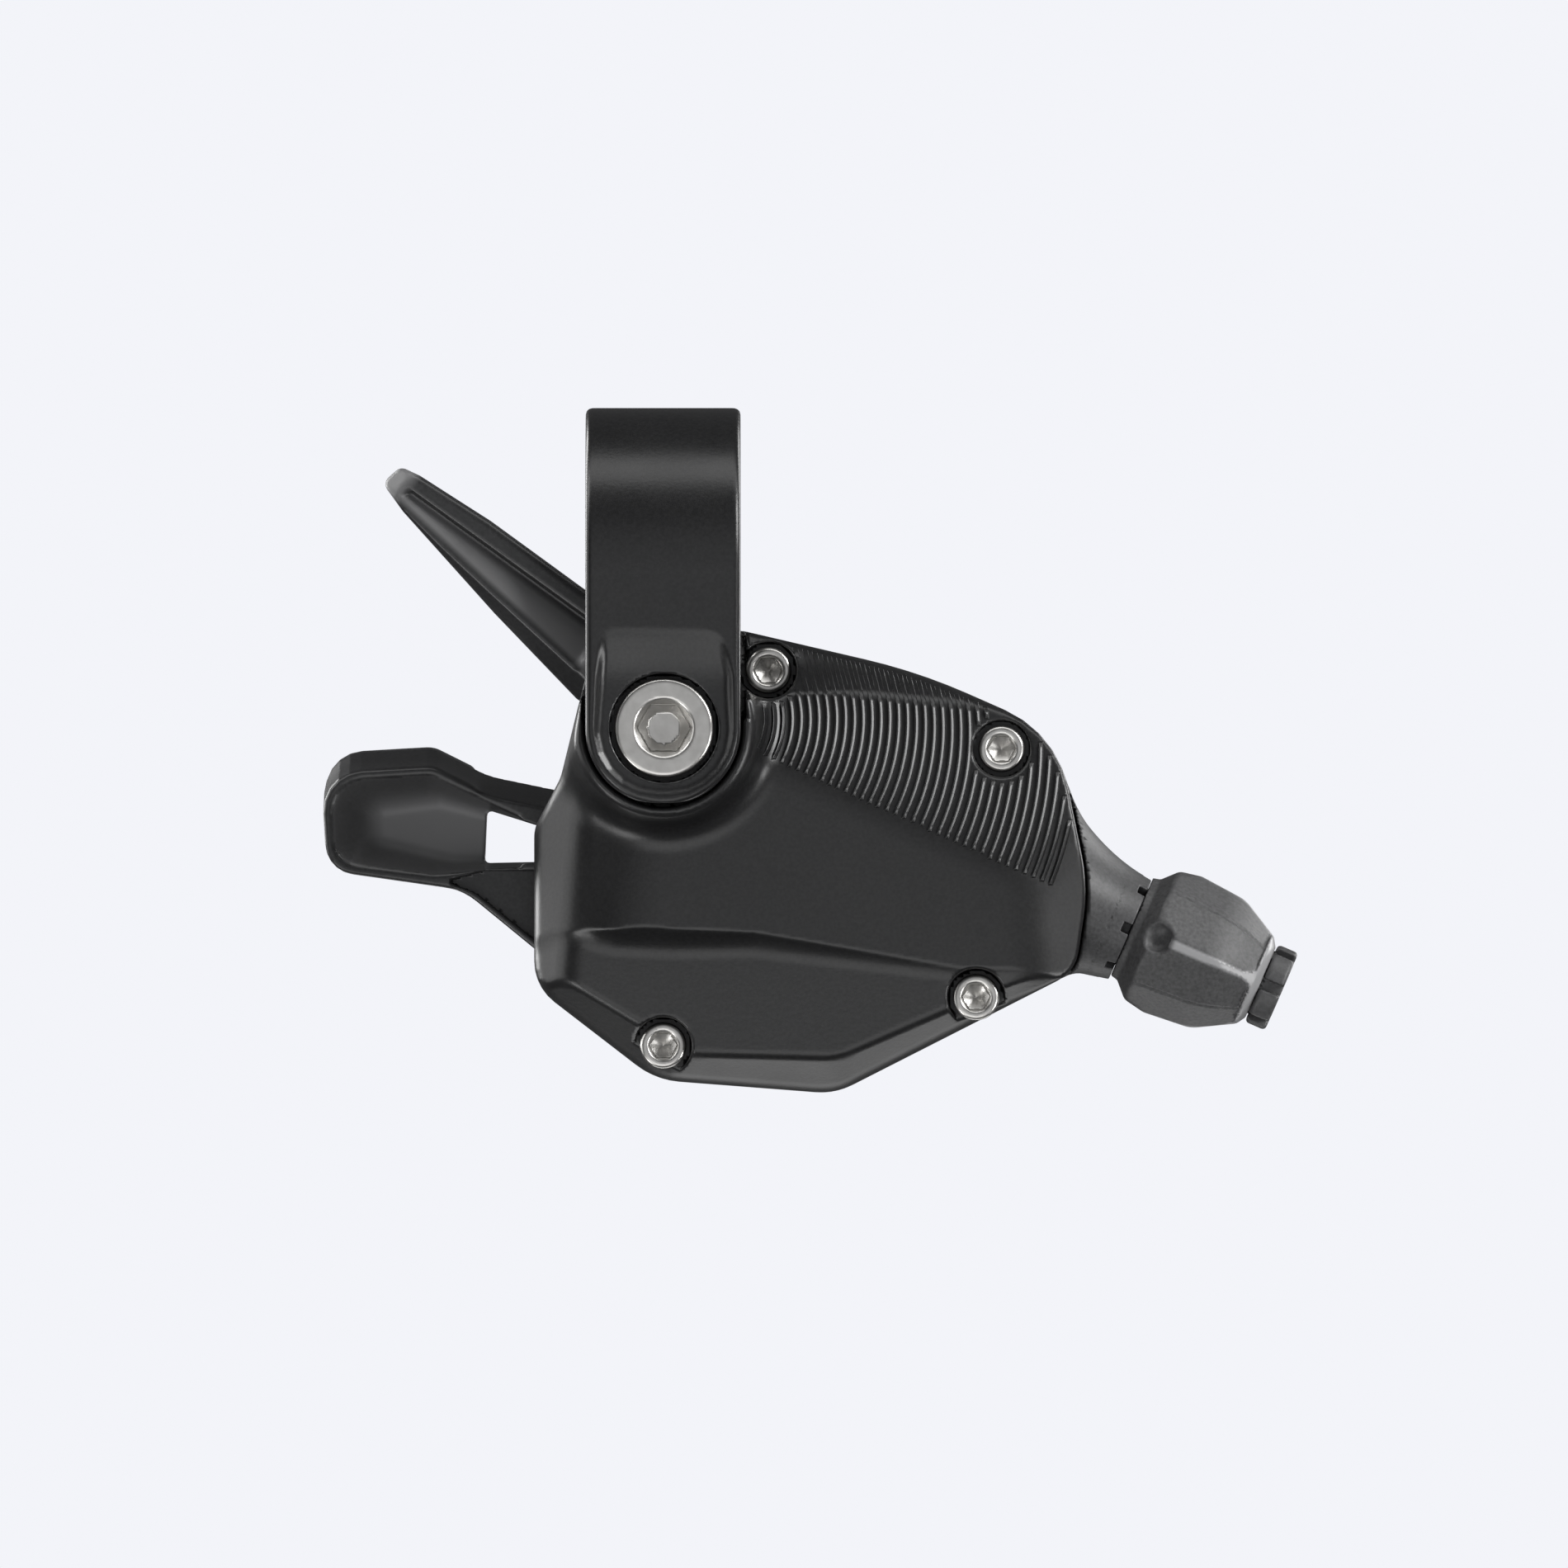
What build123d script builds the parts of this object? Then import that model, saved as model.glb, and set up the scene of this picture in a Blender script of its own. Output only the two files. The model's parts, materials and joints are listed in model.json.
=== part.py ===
from build123d import *
import os
from math import cos, hypot, radians, sin, sqrt

# Trigger gear shifter for a round handlebar. The origin is the centre of the handlebar bore.
# X runs along the bar, Z is up, and the cover faces -Y. All sizes are in millimetres.

# Handlebar clamp
BAR_R = 11.1
BAND_WIDTH = 13.2
BAND_WALL = 2.3
BAND_EDGE_ROUND = 0.45
EAR_GAP = 1.2
FRONT_EAR_SETBACK = 0.9
REAR_EAR_T = 4.6
EAR_POCKET_CLEAR = 0.15
RECESS_HALF_WIDTH = 5.2
RECESS_TOP_Z = -6.1
RECESS_DEPTH = 1.3

# Clamp bolt and its threaded insert
BOLT_R = 2.5
BOLT_BAR_GAP = 0.7
BOLT_HOLE_CLEAR = 0.25
BOLT_HEAD_R = 4.3
BOLT_HEAD_H = 4.2
BOLT_HEAD_CLEAR = 0.45
BOLT_HEAD_SINK = 0.3
BOLT_HEAD_CHAMFER = 0.35
BOLT_SOCKET_AF = 4.0
BOLT_SOCKET_DEPTH = 2.4
INSERT_R = 3.1
INSERT_LENGTH = 3.2
INSERT_CAP = 0.4
INSERT_FIT = 0.05
THREAD_FIT = 0.05

# Depth levels of the casing, measured along Y
RIDGE_Y = 2.0
SEAM_Y = 14.0
BACK_Y = 28.0
COVER_CAVITY_Y = 8.4
BACK_WALL = 2.8
WALL = 2.2
SEAM_GAP = 0.12
BACK_ROUND = 2.5

# Casing outline in the front view: corner X, corner Z and corner radius
CASING_CORNERS = [
    (7.0, -4.9, 2.0),
    (24.5, -9.9, 26.0),
    (33.4, -14.9, 6.5),
    (36.9, -28.6, 16.0),
    (35.4, -35.6, 3.5),
    (14.8, -46.1, 6.0),
    (-0.8, -44.9, 7.0),
    (-11.3, -36.7, 4.5),
    (-11.3, -23.0, 3.0),
    (-9.0, -18.6, 4.0),
    (-5.6, -4.9, 2.5),
]

# Cover facets: the ridge, the ribbed field above it and the faces below it
RIDGE_LEFT = (8.1, -16.7)
RIDGE_RIGHT = (36.1, -29.5)
FIELD_SLOPE = 0.36
CREASE_LEFT = (11.6, -11.1)
CREASE_RIGHT = (27.4, -12.5)
TOP_FACET_SLOPE = 1.3
PLATEAU_SLOPE = 0.05
LOWER_FACE_Y = 5.9
LOWER_FACE_RISE = 0.125
LEFT_FACET_X = -8.3
LEFT_FACET_Y = 4.4
LEFT_FACET_SLOPE = 1.25
LOW_LEFT_CREASE = [(-10.8, -34.8), (-1.5, -40.4)]
LOW_LEFT_RUN = (-2.0, -2.4)
BOTTOM_CREASE = [(2.6, -42.6), (14.5, -42.9)]
BOTTOM_RUN = (0.0, -2.4)
LOW_RIGHT_CREASE = [(17.1, -42.0), (24.2, -38.9)]
LOW_RIGHT_RUN = (1.0, -2.3)
BOTTOM_FACET_SLOPE = 1.5
PLATEAU_CORNERS = [(-4.6, -4.0), (-4.6, -28.6), (1.0, -29.4), (8.0, -29.8), (26.0, -33.0), (48.0, -33.0),
                   (48.0, -4.0)]
PLATEAU_ROUND = 2.0
PLATEAU_DRAFT = 40
RIB_PITCH = 0.78
RIB_WIDTH = 0.42
RIB_DEPTH = 0.3
RIB_FIRST_X = 8.4
RIB_COUNT = 34

# Collar of the cover around the clamp ears
COLLAR_WALL = 1.5
COLLAR_FOOT = 1.6
COLLAR_FRONT_Y = -3.4
COLLAR_DRAFT = 10
BAR_CLEAR = 0.8

# Cover screws: X, Z and depth of the head's front face
SCREW_PLACES = [
    (9.0, -9.3, 8.8),
    (29.2, -16.1, 5.6),
    (-0.1, -41.8, 6.3),
    (27.0, -37.6, 3.0),
]
SCREW_HEAD_R = 2.0
SCREW_HEAD_H = 1.8
SCREW_HEAD_CLEAR = 0.45
SCREW_R = 1.25
SCREW_FIT = 0.05
SCREW_GRIP = 6.0
SCREW_SOCKET_R = 1.05
SCREW_SOCKET_DEPTH = 1.1
POST_R = 2.6
COVER_POST_WALL = 0.6

# Main axle and the parts that turn on it
AXLE_X = 6.0
AXLE_Z = -28.0
AXLE_R = 2.5
AXLE_FIT = 0.06
AXLE_SEAT_DEPTH = 0.4
AXLE_NUT_R = 4.2
AXLE_NUT_T = 2.0
NUT_PROUD = 0.6
NUT_CLEAR = 0.5
STACK_GAP = 0.4
CABLE_Y = 14.0
SPOOL_WIDTH = 3.8
SPOOL_TRACK_R = 10.5
SPOOL_FLANGE = 1.2
CABLE_R = 0.6
HUB_R = 5.0
HUB_FIT = 0.03
KEY_WIDTH = 2.4
KEY_HEIGHT = 0.9
RATCHET_T = 1.8
INDEX_TIP_R = 11.2
DRIVE_TIP_R = 10.2
TOOTH_DEPTH = 1.1
TOOTH_STEP = 18.0
PAWL_CLEAR = 0.25
PAWL_SIDE_GAP = 0.15
PAWL_HUB_R = 1.7
PAWL_PIN_R = 0.9
PAWL_NOSE = 1.3
PAWL_FIT = 0.05
PAWL_POST_R = 2.2
PAWL_PIN_DEEP = 3.0
PAWL_SPRING_R = 1.3
PAWL_SPRING_H = 1.6
PAWL_WIRE_R = 0.2
PAWL_SPRING_TURNS = 4
HOLD_PAWL_RADIUS = 14.5
HOLD_PAWL_ANGLE = 301.0
HOLD_NOSE_ANGLE = 277.0
DRIVE_PAWL_RADIUS = 13.0
DRIVE_PAWL_ANGLE = 190.0
DRIVE_NOSE_ANGLE = 165.0
WASHER_GAP = 0.05
SPRING_GAP = 0.2
SPRING_WIRE_R = 0.45
SPOOL_SPRING_R = 6.6
SPOOL_SPRING_TURNS = 3
THUMB_SPRING_R = 4.2
THUMB_SPRING_TURNS = 2

# Levers
LEVER_PLATE_T = 2.0
RELEASE_X = 4.0
RELEASE_Z = -12.0
RELEASE_HUB_R = 2.7
RELEASE_PIN_R = 1.3
RELEASE_FIT = 0.06
RELEASE_GAP = 0.3
RELEASE_PIN_SEAT = 4.4
PADDLE_BACK_Y = 31.0
PADDLE_RISE = 1.9
DISH_DEPTH = 5.5
BUSH_WALL = 0.9
BUSH_FLANGE = 0.4
RELEASE_SPRING_R = 1.9
RELEASE_SPRING_H = 1.9
RELEASE_WIRE_R = 0.25
RELEASE_SPRING_TURNS = 3
LEVER_SLOT_CLEAR = 0.35
RELEASE_SLOT_ANGLES = [190.0, 165.0, 140.0, 112.0, 80.0]
THUMB_SLOT_ANGLES = [206.0, 180.0, 154.0, 128.0, 104.0]
PADDLE_SWEEP_R = 20.5
THUMB_PLATE = [(6.0, -20.9), (-9.3, -20.0), (-16.5, -18.4), (-17.5, -28.4), (-11.2, -33.6), (4.0, -34.9)]
THUMB_WINDOW = [(-15.4, -21.6), (-9.8, -23.3), (-9.8, -25.8), (-15.4, -25.9)]
PADDLE_RIM = [(-29.4, -18.3, 2.6), (-20.0, -17.8, 1.5), (-15.6, -19.8, 0.5), (-15.6, -27.9, 0.5),
              (-17.5, -28.3, 0.9), (-29.2, -26.6, 2.4)]
DISH_RIM = [(-28.3, -19.3, 2.0), (-20.2, -18.9, 1.0), (-14.6, -21.2, 0.4), (-14.6, -26.9, 0.4),
            (-28.1, -25.4, 1.8)]
DISH_FLOOR = [(-25.4, -21.2, 0.9), (-19.6, -20.6, 0.9), (-14.6, -21.6, 0.4), (-14.6, -26.0, 0.4),
              (-24.8, -24.6, 0.9)]
RELEASE_BLADE = [(-24.5, 7.0), (-22.9, 8.4), (-21.2, 7.6), (-15.1, 3.7), (-9.6, -0.3), (-7.0, -2.2),
                 (5.7, -9.9), (3.0, -14.5), (-7.5, -11.9), (-14.8, -4.3), (-22.7, 4.5)]
BLADE_RIDGE = [(-23.2, 5.1), (-13.2, -4.1)]
BLADE_RIDGE_SLOPE = 1.5
SCOOP_LINE = [(-7.5, -5.6), (-23.4, 6.6)]
SCOOP_R = 3.3
SCOOP_TAPER = 6.0
SCOOP_AHEAD = 0.9

# Cable line, nozzle and barrel adjuster
CABLE_ANGLE = 23.5
NOZZLE_END_X = 40.5
NOZZLE_END_Z = -31.5
NOZZLE_R = 4.35
NOZZLE_SECTIONS = [(34.0, -26.3, 9.2, 8.0, 0.0), (37.4, -29.6, 6.1, 5.6, 8.0)]
NOTCH_COUNT = 8
NOTCH_R = 0.45
NOTCH_DEEP = 0.8
CABLE_HOLE_R = 1.0
CABLE_HOLE_DEEP = 14.0
BARREL_R = 2.9
BARREL_FIT = 0.06
BARREL_BORE_R = 2.15
BARREL_DEEP = 3.0
KNOB_LENGTH = 11.9
KNOB_R = 6.45
KNOB_FLAT_R = 5.85
KNOB_FLATS = 6
KNOB_END_R = 3.85
KNOB_FLARE = 1.9
KNOB_GAP = 0.3
KNOB_CONE = 4.0
SLEEVE_R = 3.6
SLEEVE_DEEP = 1.5
COLLAR_END_R = 3.7
COLLAR_END_LENGTH = 1.4
COLLAR_END_GAP = 0.15
DETENT_T = 0.5
DETENT_GAP = 0.1
GROOVE_R = 3.0
GROOVE_DEPTH = 0.25
COLLAR_SLOTS = 6
COLLAR_SLOT_DEEP = 1.4
COLLAR_SLOT_WIDTH = 1.0
BARREL_STOP = 4.0


def polar(centre, radius, angle):
    """Front-view point at a radius and an angle in degrees from +X toward +Z."""
    return (centre[0] + radius * cos(radians(angle)), centre[1] + radius * sin(radians(angle)))


# Sizes worked out from the ones above
BAND_R = BAR_R + BAND_WALL
HALF_BAND = BAND_WIDTH / 2
BOLT_Z = -(BAR_R + BOLT_BAR_GAP + BOLT_R)
EAR_FRONT_Y = -(BAND_R - FRONT_EAR_SETBACK)
PAD_Y = EAR_GAP / 2 + REAR_EAR_T
BOLT_HEAD_Y = EAR_FRONT_Y + BOLT_HEAD_SINK
BOLT_SEAT_Y = BOLT_HEAD_Y + BOLT_HEAD_H
INSERT_FRONT_Y = sqrt((BAND_R + BAR_CLEAR / 2) ** 2 - (BOLT_Z + INSERT_R) ** 2)
INSERT_BACK_Y = INSERT_FRONT_Y + INSERT_LENGTH
CAVITY_BACK_Y = BACK_Y - BACK_WALL
SPOOL_FRONT_Y = CABLE_Y - SPOOL_WIDTH / 2
INDEX_Y = CABLE_Y + SPOOL_WIDTH / 2
DRIVE_Y = INDEX_Y + RATCHET_T
STACK_BACK_Y = DRIVE_Y + RATCHET_T
LEVER_Y = STACK_BACK_Y + STACK_GAP
LEVER_BACK_Y = LEVER_Y + LEVER_PLATE_T
SPOOL_R = SPOOL_TRACK_R + SPOOL_FLANGE
AXLE = (AXLE_X, AXLE_Z)
AXLE_FRONT_Y = COVER_CAVITY_Y - AXLE_SEAT_DEPTH
AXLE_BACK_Y = BACK_Y + NUT_PROUD
RELEASE = (RELEASE_X, RELEASE_Z)
RELEASE_PIN_Y = SEAM_Y - RELEASE_PIN_SEAT
RELEASE_BACK_Y = STACK_BACK_Y
HOLD_PAWL = polar(AXLE, HOLD_PAWL_RADIUS, HOLD_PAWL_ANGLE)
DRIVE_PAWL = polar(AXLE, DRIVE_PAWL_RADIUS, DRIVE_PAWL_ANGLE)
SLOT_REACH = hypot(NOZZLE_END_X, NOZZLE_END_Z)
FACET_SPAN = SEAM_Y
RIB_TOP = NOZZLE_END_X
CABLE_DIR = (cos(radians(CABLE_ANGLE)), 0, -sin(radians(CABLE_ANGLE)))
CABLE_PLANE = Plane(origin=(NOZZLE_END_X, CABLE_Y, NOZZLE_END_Z), x_dir=(0, 1, 0), z_dir=CABLE_DIR)


def front(depth):
    """Plane at a depth along Y, seen as in the front view, with its normal toward the viewer."""
    return Plane.XZ.offset(-depth)


def casing_outline(growth=0.0):
    """Front-view outline of the casing, grown or shrunk evenly."""
    with BuildSketch() as outline:
        with BuildLine():
            Polyline(*[(x, z) for x, z, _ in CASING_CORNERS], close=True)
        make_face()
        for x, z, radius in CASING_CORNERS:
            fillet(outline.vertices().sort_by_distance((x, z, 0))[0], radius)
        if growth:
            offset(amount=growth, kind=Kind.ARC)
    return outline.sketch


def facet(*points):
    """Plane through three (x, depth, z) points, with its normal toward the viewer."""
    a, b, c = [Vector(*p) for p in points]
    normal = (b - a).cross(c - a)
    if normal.Y > 0:
        normal = normal * -1
    return Plane(origin=a, z_dir=normal)


def below_ridge(x, z):
    """Distance of a front-view point from the ridge line, positive below it."""
    dx = RIDGE_RIGHT[0] - RIDGE_LEFT[0]
    dz = RIDGE_RIGHT[1] - RIDGE_LEFT[1]
    return ((x - RIDGE_LEFT[0]) * dz - (z - RIDGE_LEFT[1]) * dx) / hypot(dx, dz)


def round_bar(name, centre, radius, near, far, bore=0.0):
    """Plain turned piece along Y, with an optional bore."""
    with BuildPart() as turned:
        with BuildSketch(front(far)):
            with Locations(centre):
                Circle(radius)
                if bore:
                    Circle(bore, mode=Mode.SUBTRACT)
        extrude(amount=far - near)
    turned.part.label = name
    return turned.part


def ear_outline(growth=0.0):
    """Front-view outline of the clamp band: straight sides and a round end about the bolt."""
    half = HALF_BAND + growth
    with BuildSketch() as outline:
        with Locations((0, (BAND_R + BOLT_Z) / 2)):
            Rectangle(2 * half, BAND_R - BOLT_Z)
        with Locations((0, BOLT_Z)):
            Circle(half)
    return outline.sketch


# Clamp band: a split ring with two ears under the bar, closed by the clamp bolt
ear_bottom = BOLT_Z - HALF_BAND
with BuildPart() as clamp_band:
    with BuildSketch(Plane.YZ):
        Circle(BAND_R)
        with BuildLine():
            Polyline((-BAND_R, 0), (EAR_FRONT_Y, ear_bottom), (PAD_Y, ear_bottom), (PAD_Y, 0), close=True)
        make_face()
        Circle(BAR_R, mode=Mode.SUBTRACT)
        with Locations((0, ear_bottom / 2)):
            Rectangle(EAR_GAP, -ear_bottom, mode=Mode.SUBTRACT)
    extrude(amount=HALF_BAND, both=True)
    with BuildSketch(front(BAND_R)):
        add(ear_outline())
    extrude(amount=2 * BAND_R, mode=Mode.INTERSECT)
    side_faces = clamp_band.faces().filter_by(Axis.X)
    outer_edges = [e for f in side_faces for e in f.edges() if e.center().Y < EAR_FRONT_Y / 2
                   or e.center().Z > BAR_R / 2]
    fillet([e for e in outer_edges if hypot(e.center().Y, e.center().Z) > BAR_R], BAND_EDGE_ROUND)
    with BuildSketch(front(-BAND_R)):
        with Locations((0, (RECESS_TOP_Z + BOLT_Z) / 2)):
            Rectangle(2 * RECESS_HALF_WIDTH, RECESS_TOP_Z - BOLT_Z)
        with Locations((0, BOLT_Z)):
            Circle(RECESS_HALF_WIDTH)
    extrude(amount=-(BAND_R + EAR_FRONT_Y + RECESS_DEPTH), mode=Mode.SUBTRACT)
    with BuildSketch(front(-BAND_R)):
        with Locations((0, BOLT_Z)):
            Circle(BOLT_HEAD_R + BOLT_HEAD_CLEAR)
    extrude(amount=-(BAND_R + BOLT_SEAT_Y), mode=Mode.SUBTRACT)
    with BuildSketch(front(-BAND_R)):
        with Locations((0, BOLT_Z)):
            Circle(BOLT_R + BOLT_HOLE_CLEAR)
    extrude(amount=-2 * BAND_R, mode=Mode.SUBTRACT)

# Clamp bolt: socket cap screw from the front ear into the insert
with BuildPart() as clamp_bolt:
    with BuildSketch(front(BOLT_SEAT_Y)):
        with Locations((0, BOLT_Z)):
            Circle(BOLT_HEAD_R)
    extrude(amount=BOLT_HEAD_H)
    chamfer(clamp_bolt.faces().sort_by(Axis.Y)[0].edges(), BOLT_HEAD_CHAMFER)
    with BuildSketch(front(INSERT_BACK_Y)):
        with Locations((0, BOLT_Z)):
            Circle(BOLT_R)
    extrude(amount=INSERT_BACK_Y - BOLT_SEAT_Y)
    with BuildSketch(front(BOLT_HEAD_Y)):
        with Locations((0, BOLT_Z)):
            RegularPolygon(BOLT_SOCKET_AF / 2, 6, major_radius=False)
    extrude(amount=-BOLT_SOCKET_DEPTH, mode=Mode.SUBTRACT)

clamp_insert = round_bar("clamp_insert", (0, BOLT_Z), INSERT_R, INSERT_FRONT_Y, INSERT_BACK_Y,
                         BOLT_R + THREAD_FIT)

# Cover: a faceted shell with a ridge, a ribbed field above it and a raised plateau below it
crease_left_y = RIDGE_Y - FIELD_SLOPE * below_ridge(*CREASE_LEFT)
crease_right_y = RIDGE_Y - FIELD_SLOPE * below_ridge(*CREASE_RIGHT)


def front_facets(field_drop):
    """Facets shared by both levels of the cover's front, with the field set back by field_drop."""
    (rx, rz), (sx, sz) = RIDGE_LEFT, RIDGE_RIGHT
    (cx, cz), (ex, ez) = CREASE_LEFT, CREASE_RIGHT
    field = facet((rx, RIDGE_Y + field_drop, rz), (sx, RIDGE_Y + field_drop, sz),
                  (cx, crease_left_y + field_drop, cz))
    top = facet((cx, crease_left_y + field_drop, cz), (ex, crease_right_y + field_drop, ez),
                (cx, crease_left_y + field_drop + TOP_FACET_SLOPE * FACET_SPAN, cz + FACET_SPAN))
    plateau = facet((rx, RIDGE_Y, rz), (sx, RIDGE_Y, sz),
                    (rx, RIDGE_Y + PLATEAU_SLOPE * below_ridge(rx, rz - FACET_SPAN), rz - FACET_SPAN))
    return [field, top, plateau]


def lower_face_y(x):
    """Depth of the lower face, which rises toward the nozzle."""
    return LOWER_FACE_Y - LOWER_FACE_RISE * x


def bevel(crease, run):
    """Bevel facet that leaves the lower face at a crease and falls back over a run outward."""
    (ax, az), (bx, bz) = crease
    drop = BOTTOM_FACET_SLOPE * hypot(*run)
    return facet((ax, lower_face_y(ax), az), (bx, lower_face_y(bx), bz),
                 (ax + run[0], lower_face_y(ax) + drop, az + run[1]))


def cover_block(field_drop):
    """Solid front of the cover between the seam and its facets."""
    with BuildPart() as lower:
        with BuildSketch(front(SEAM_Y)):
            add(casing_outline())
        extrude(amount=SEAM_Y)
        lower_face = facet((0, lower_face_y(0), 0), (FACET_SPAN, lower_face_y(FACET_SPAN), 0),
                           (0, lower_face_y(0), FACET_SPAN))
        left = facet((LEFT_FACET_X, LEFT_FACET_Y, 0), (LEFT_FACET_X, LEFT_FACET_Y, FACET_SPAN),
                     (LEFT_FACET_X - FACET_SPAN, LEFT_FACET_Y + LEFT_FACET_SLOPE * FACET_SPAN, 0))
        bevels = [left, bevel(LOW_LEFT_CREASE, LOW_LEFT_RUN), bevel(BOTTOM_CREASE, BOTTOM_RUN),
                  bevel(LOW_RIGHT_CREASE, LOW_RIGHT_RUN)]
        for plane in front_facets(field_drop) + [lower_face] + bevels:
            split(bisect_by=plane, keep=Keep.BOTTOM)
    with BuildPart() as raised:
        with BuildSketch(front(0)) as plateau_top:
            with BuildLine():
                Polyline(*PLATEAU_CORNERS, close=True)
            make_face()
            fillet(plateau_top.vertices(), PLATEAU_ROUND)
        extrude(amount=-SEAM_Y / 2, taper=-PLATEAU_DRAFT)
        with BuildSketch(front(SEAM_Y)):
            add(casing_outline())
        extrude(amount=2 * SEAM_Y, mode=Mode.INTERSECT)
        for plane in front_facets(field_drop):
            split(bisect_by=plane, keep=Keep.BOTTOM)
    return lower.part + raised.part


def screw_posts(near, far, radius):
    """Round posts about the four cover screws between two depths."""
    with BuildPart() as posts:
        with BuildSketch(front(far)):
            with Locations(*[(x, z) for x, z, _ in SCREW_PLACES]):
                Circle(radius)
        extrude(amount=far - near)
    return posts.part


# Ribs of the field: upright slabs between the ridge and the top edge, trimmed by the high facets
with BuildPart() as rib_slabs:
    with BuildSketch(front(SEAM_Y)):
        for i in range(RIB_COUNT):
            with Locations((RIB_FIRST_X + i * RIB_PITCH, -RIB_PITCH)):
                Rectangle(RIB_WIDTH, 2 * RIB_TOP)
    extrude(amount=2 * SEAM_Y)
    ridge_plane = Plane(origin=(RIDGE_LEFT[0], 0, RIDGE_LEFT[1]), x_dir=(0, 1, 0),
                        z_dir=(RIDGE_LEFT[1] - RIDGE_RIGHT[1], 0, RIDGE_RIGHT[0] - RIDGE_LEFT[0]))
    split(bisect_by=ridge_plane, keep=Keep.TOP)

with BuildPart() as cover:
    add(cover_block(RIB_DEPTH))
    add(rib_slabs.part & cover_block(0.0))
    with BuildSketch(front(PAD_Y + REAR_EAR_T)):
        with Locations((0, BOLT_Z)):
            Circle(HALF_BAND + COLLAR_WALL + COLLAR_FOOT)
    extrude(amount=PAD_Y + REAR_EAR_T - COLLAR_FRONT_Y, taper=COLLAR_DRAFT)
    with BuildSketch(front(SEAM_Y)):
        add(casing_outline(-WALL))
    extrude(amount=SEAM_Y - COVER_CAVITY_Y, mode=Mode.SUBTRACT)
    add(screw_posts(COVER_CAVITY_Y - WALL, SEAM_Y, SCREW_HEAD_R + SCREW_HEAD_CLEAR + COVER_POST_WALL))
    with BuildSketch(front(INSERT_BACK_Y + INSERT_CAP)):
        with Locations((0, BOLT_Z)):
            Circle(INSERT_R + WALL)
    extrude(amount=INSERT_BACK_Y + INSERT_CAP - PAD_Y)
    with BuildSketch(front(SEAM_Y)):
        with Locations(RELEASE):
            Circle(RELEASE_PIN_R + WALL)
    extrude(amount=SEAM_Y - COVER_CAVITY_Y)
    with BuildSketch(front(SPOOL_FRONT_Y - STACK_GAP)):
        with Locations(AXLE):
            Circle(AXLE_R + WALL)
    extrude(amount=SPOOL_FRONT_Y - STACK_GAP - COVER_CAVITY_Y)
    with BuildSketch(front(SEAM_Y)):
        add(casing_outline())
    extrude(amount=2 * SEAM_Y, mode=Mode.INTERSECT)
    # Room for the bar, for the band's ring and for the ears in the collar
    with BuildSketch(Plane.YZ):
        Circle(BAR_R + BAR_CLEAR)
    extrude(amount=2 * NOZZLE_END_X, both=True, mode=Mode.SUBTRACT)
    with BuildSketch(Plane.YZ):
        Circle(BAND_R + BAR_CLEAR / 2)
    extrude(amount=HALF_BAND + BAR_CLEAR / 2, both=True, mode=Mode.SUBTRACT)
    with BuildSketch(front(PAD_Y)):
        add(ear_outline(EAR_POCKET_CLEAR))
    extrude(amount=2 * BAND_R, mode=Mode.SUBTRACT)
    with BuildSketch(front(INSERT_BACK_Y)):
        with Locations((0, BOLT_Z)):
            Circle(INSERT_R + INSERT_FIT)
    extrude(amount=INSERT_LENGTH, mode=Mode.SUBTRACT)
    with BuildSketch(front(INSERT_FRONT_Y)):
        with Locations((0, BOLT_Z)):
            Circle(BOLT_R + BOLT_HOLE_CLEAR)
    extrude(amount=INSERT_FRONT_Y - PAD_Y, mode=Mode.SUBTRACT)
    for x, z, head_y in SCREW_PLACES:
        with BuildSketch(front(head_y + SCREW_HEAD_H)):
            with Locations((x, z)):
                Circle(SCREW_HEAD_R + SCREW_HEAD_CLEAR)
        extrude(amount=SEAM_Y, mode=Mode.SUBTRACT)
        with BuildSketch(front(SEAM_Y)):
            with Locations((x, z)):
                Circle(SCREW_R + SCREW_FIT)
        extrude(amount=SEAM_Y, mode=Mode.SUBTRACT)
    for centre, radius, floor_y in [(AXLE, AXLE_R + AXLE_FIT, AXLE_FRONT_Y),
                                    (RELEASE, RELEASE_PIN_R + PAWL_FIT, RELEASE_PIN_Y)]:
        with BuildSketch(front(SEAM_Y)):
            with Locations(centre):
                Circle(radius)
        extrude(amount=SEAM_Y - floor_y, mode=Mode.SUBTRACT)
    with BuildSketch(CABLE_PLANE):
        Circle(CABLE_HOLE_R)
    extrude(amount=-CABLE_HOLE_DEEP, mode=Mode.SUBTRACT)

# Cover screws: small socket-head screws into the posts of the base
with BuildPart() as cover_screws:
    for x, z, head_y in SCREW_PLACES:
        with BuildSketch(front(head_y + SCREW_HEAD_H)):
            with Locations((x, z)):
                Circle(SCREW_HEAD_R)
        extrude(amount=SCREW_HEAD_H)
        with BuildSketch(front(SEAM_Y + SCREW_GRIP)):
            with Locations((x, z)):
                Circle(SCREW_R)
        extrude(amount=SEAM_Y + SCREW_GRIP - head_y - SCREW_HEAD_H)
        with BuildSketch(front(head_y)):
            with Locations((x, z)):
                RegularPolygon(SCREW_SOCKET_R, 6)
        extrude(amount=-SCREW_SOCKET_DEPTH, mode=Mode.SUBTRACT)

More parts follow.
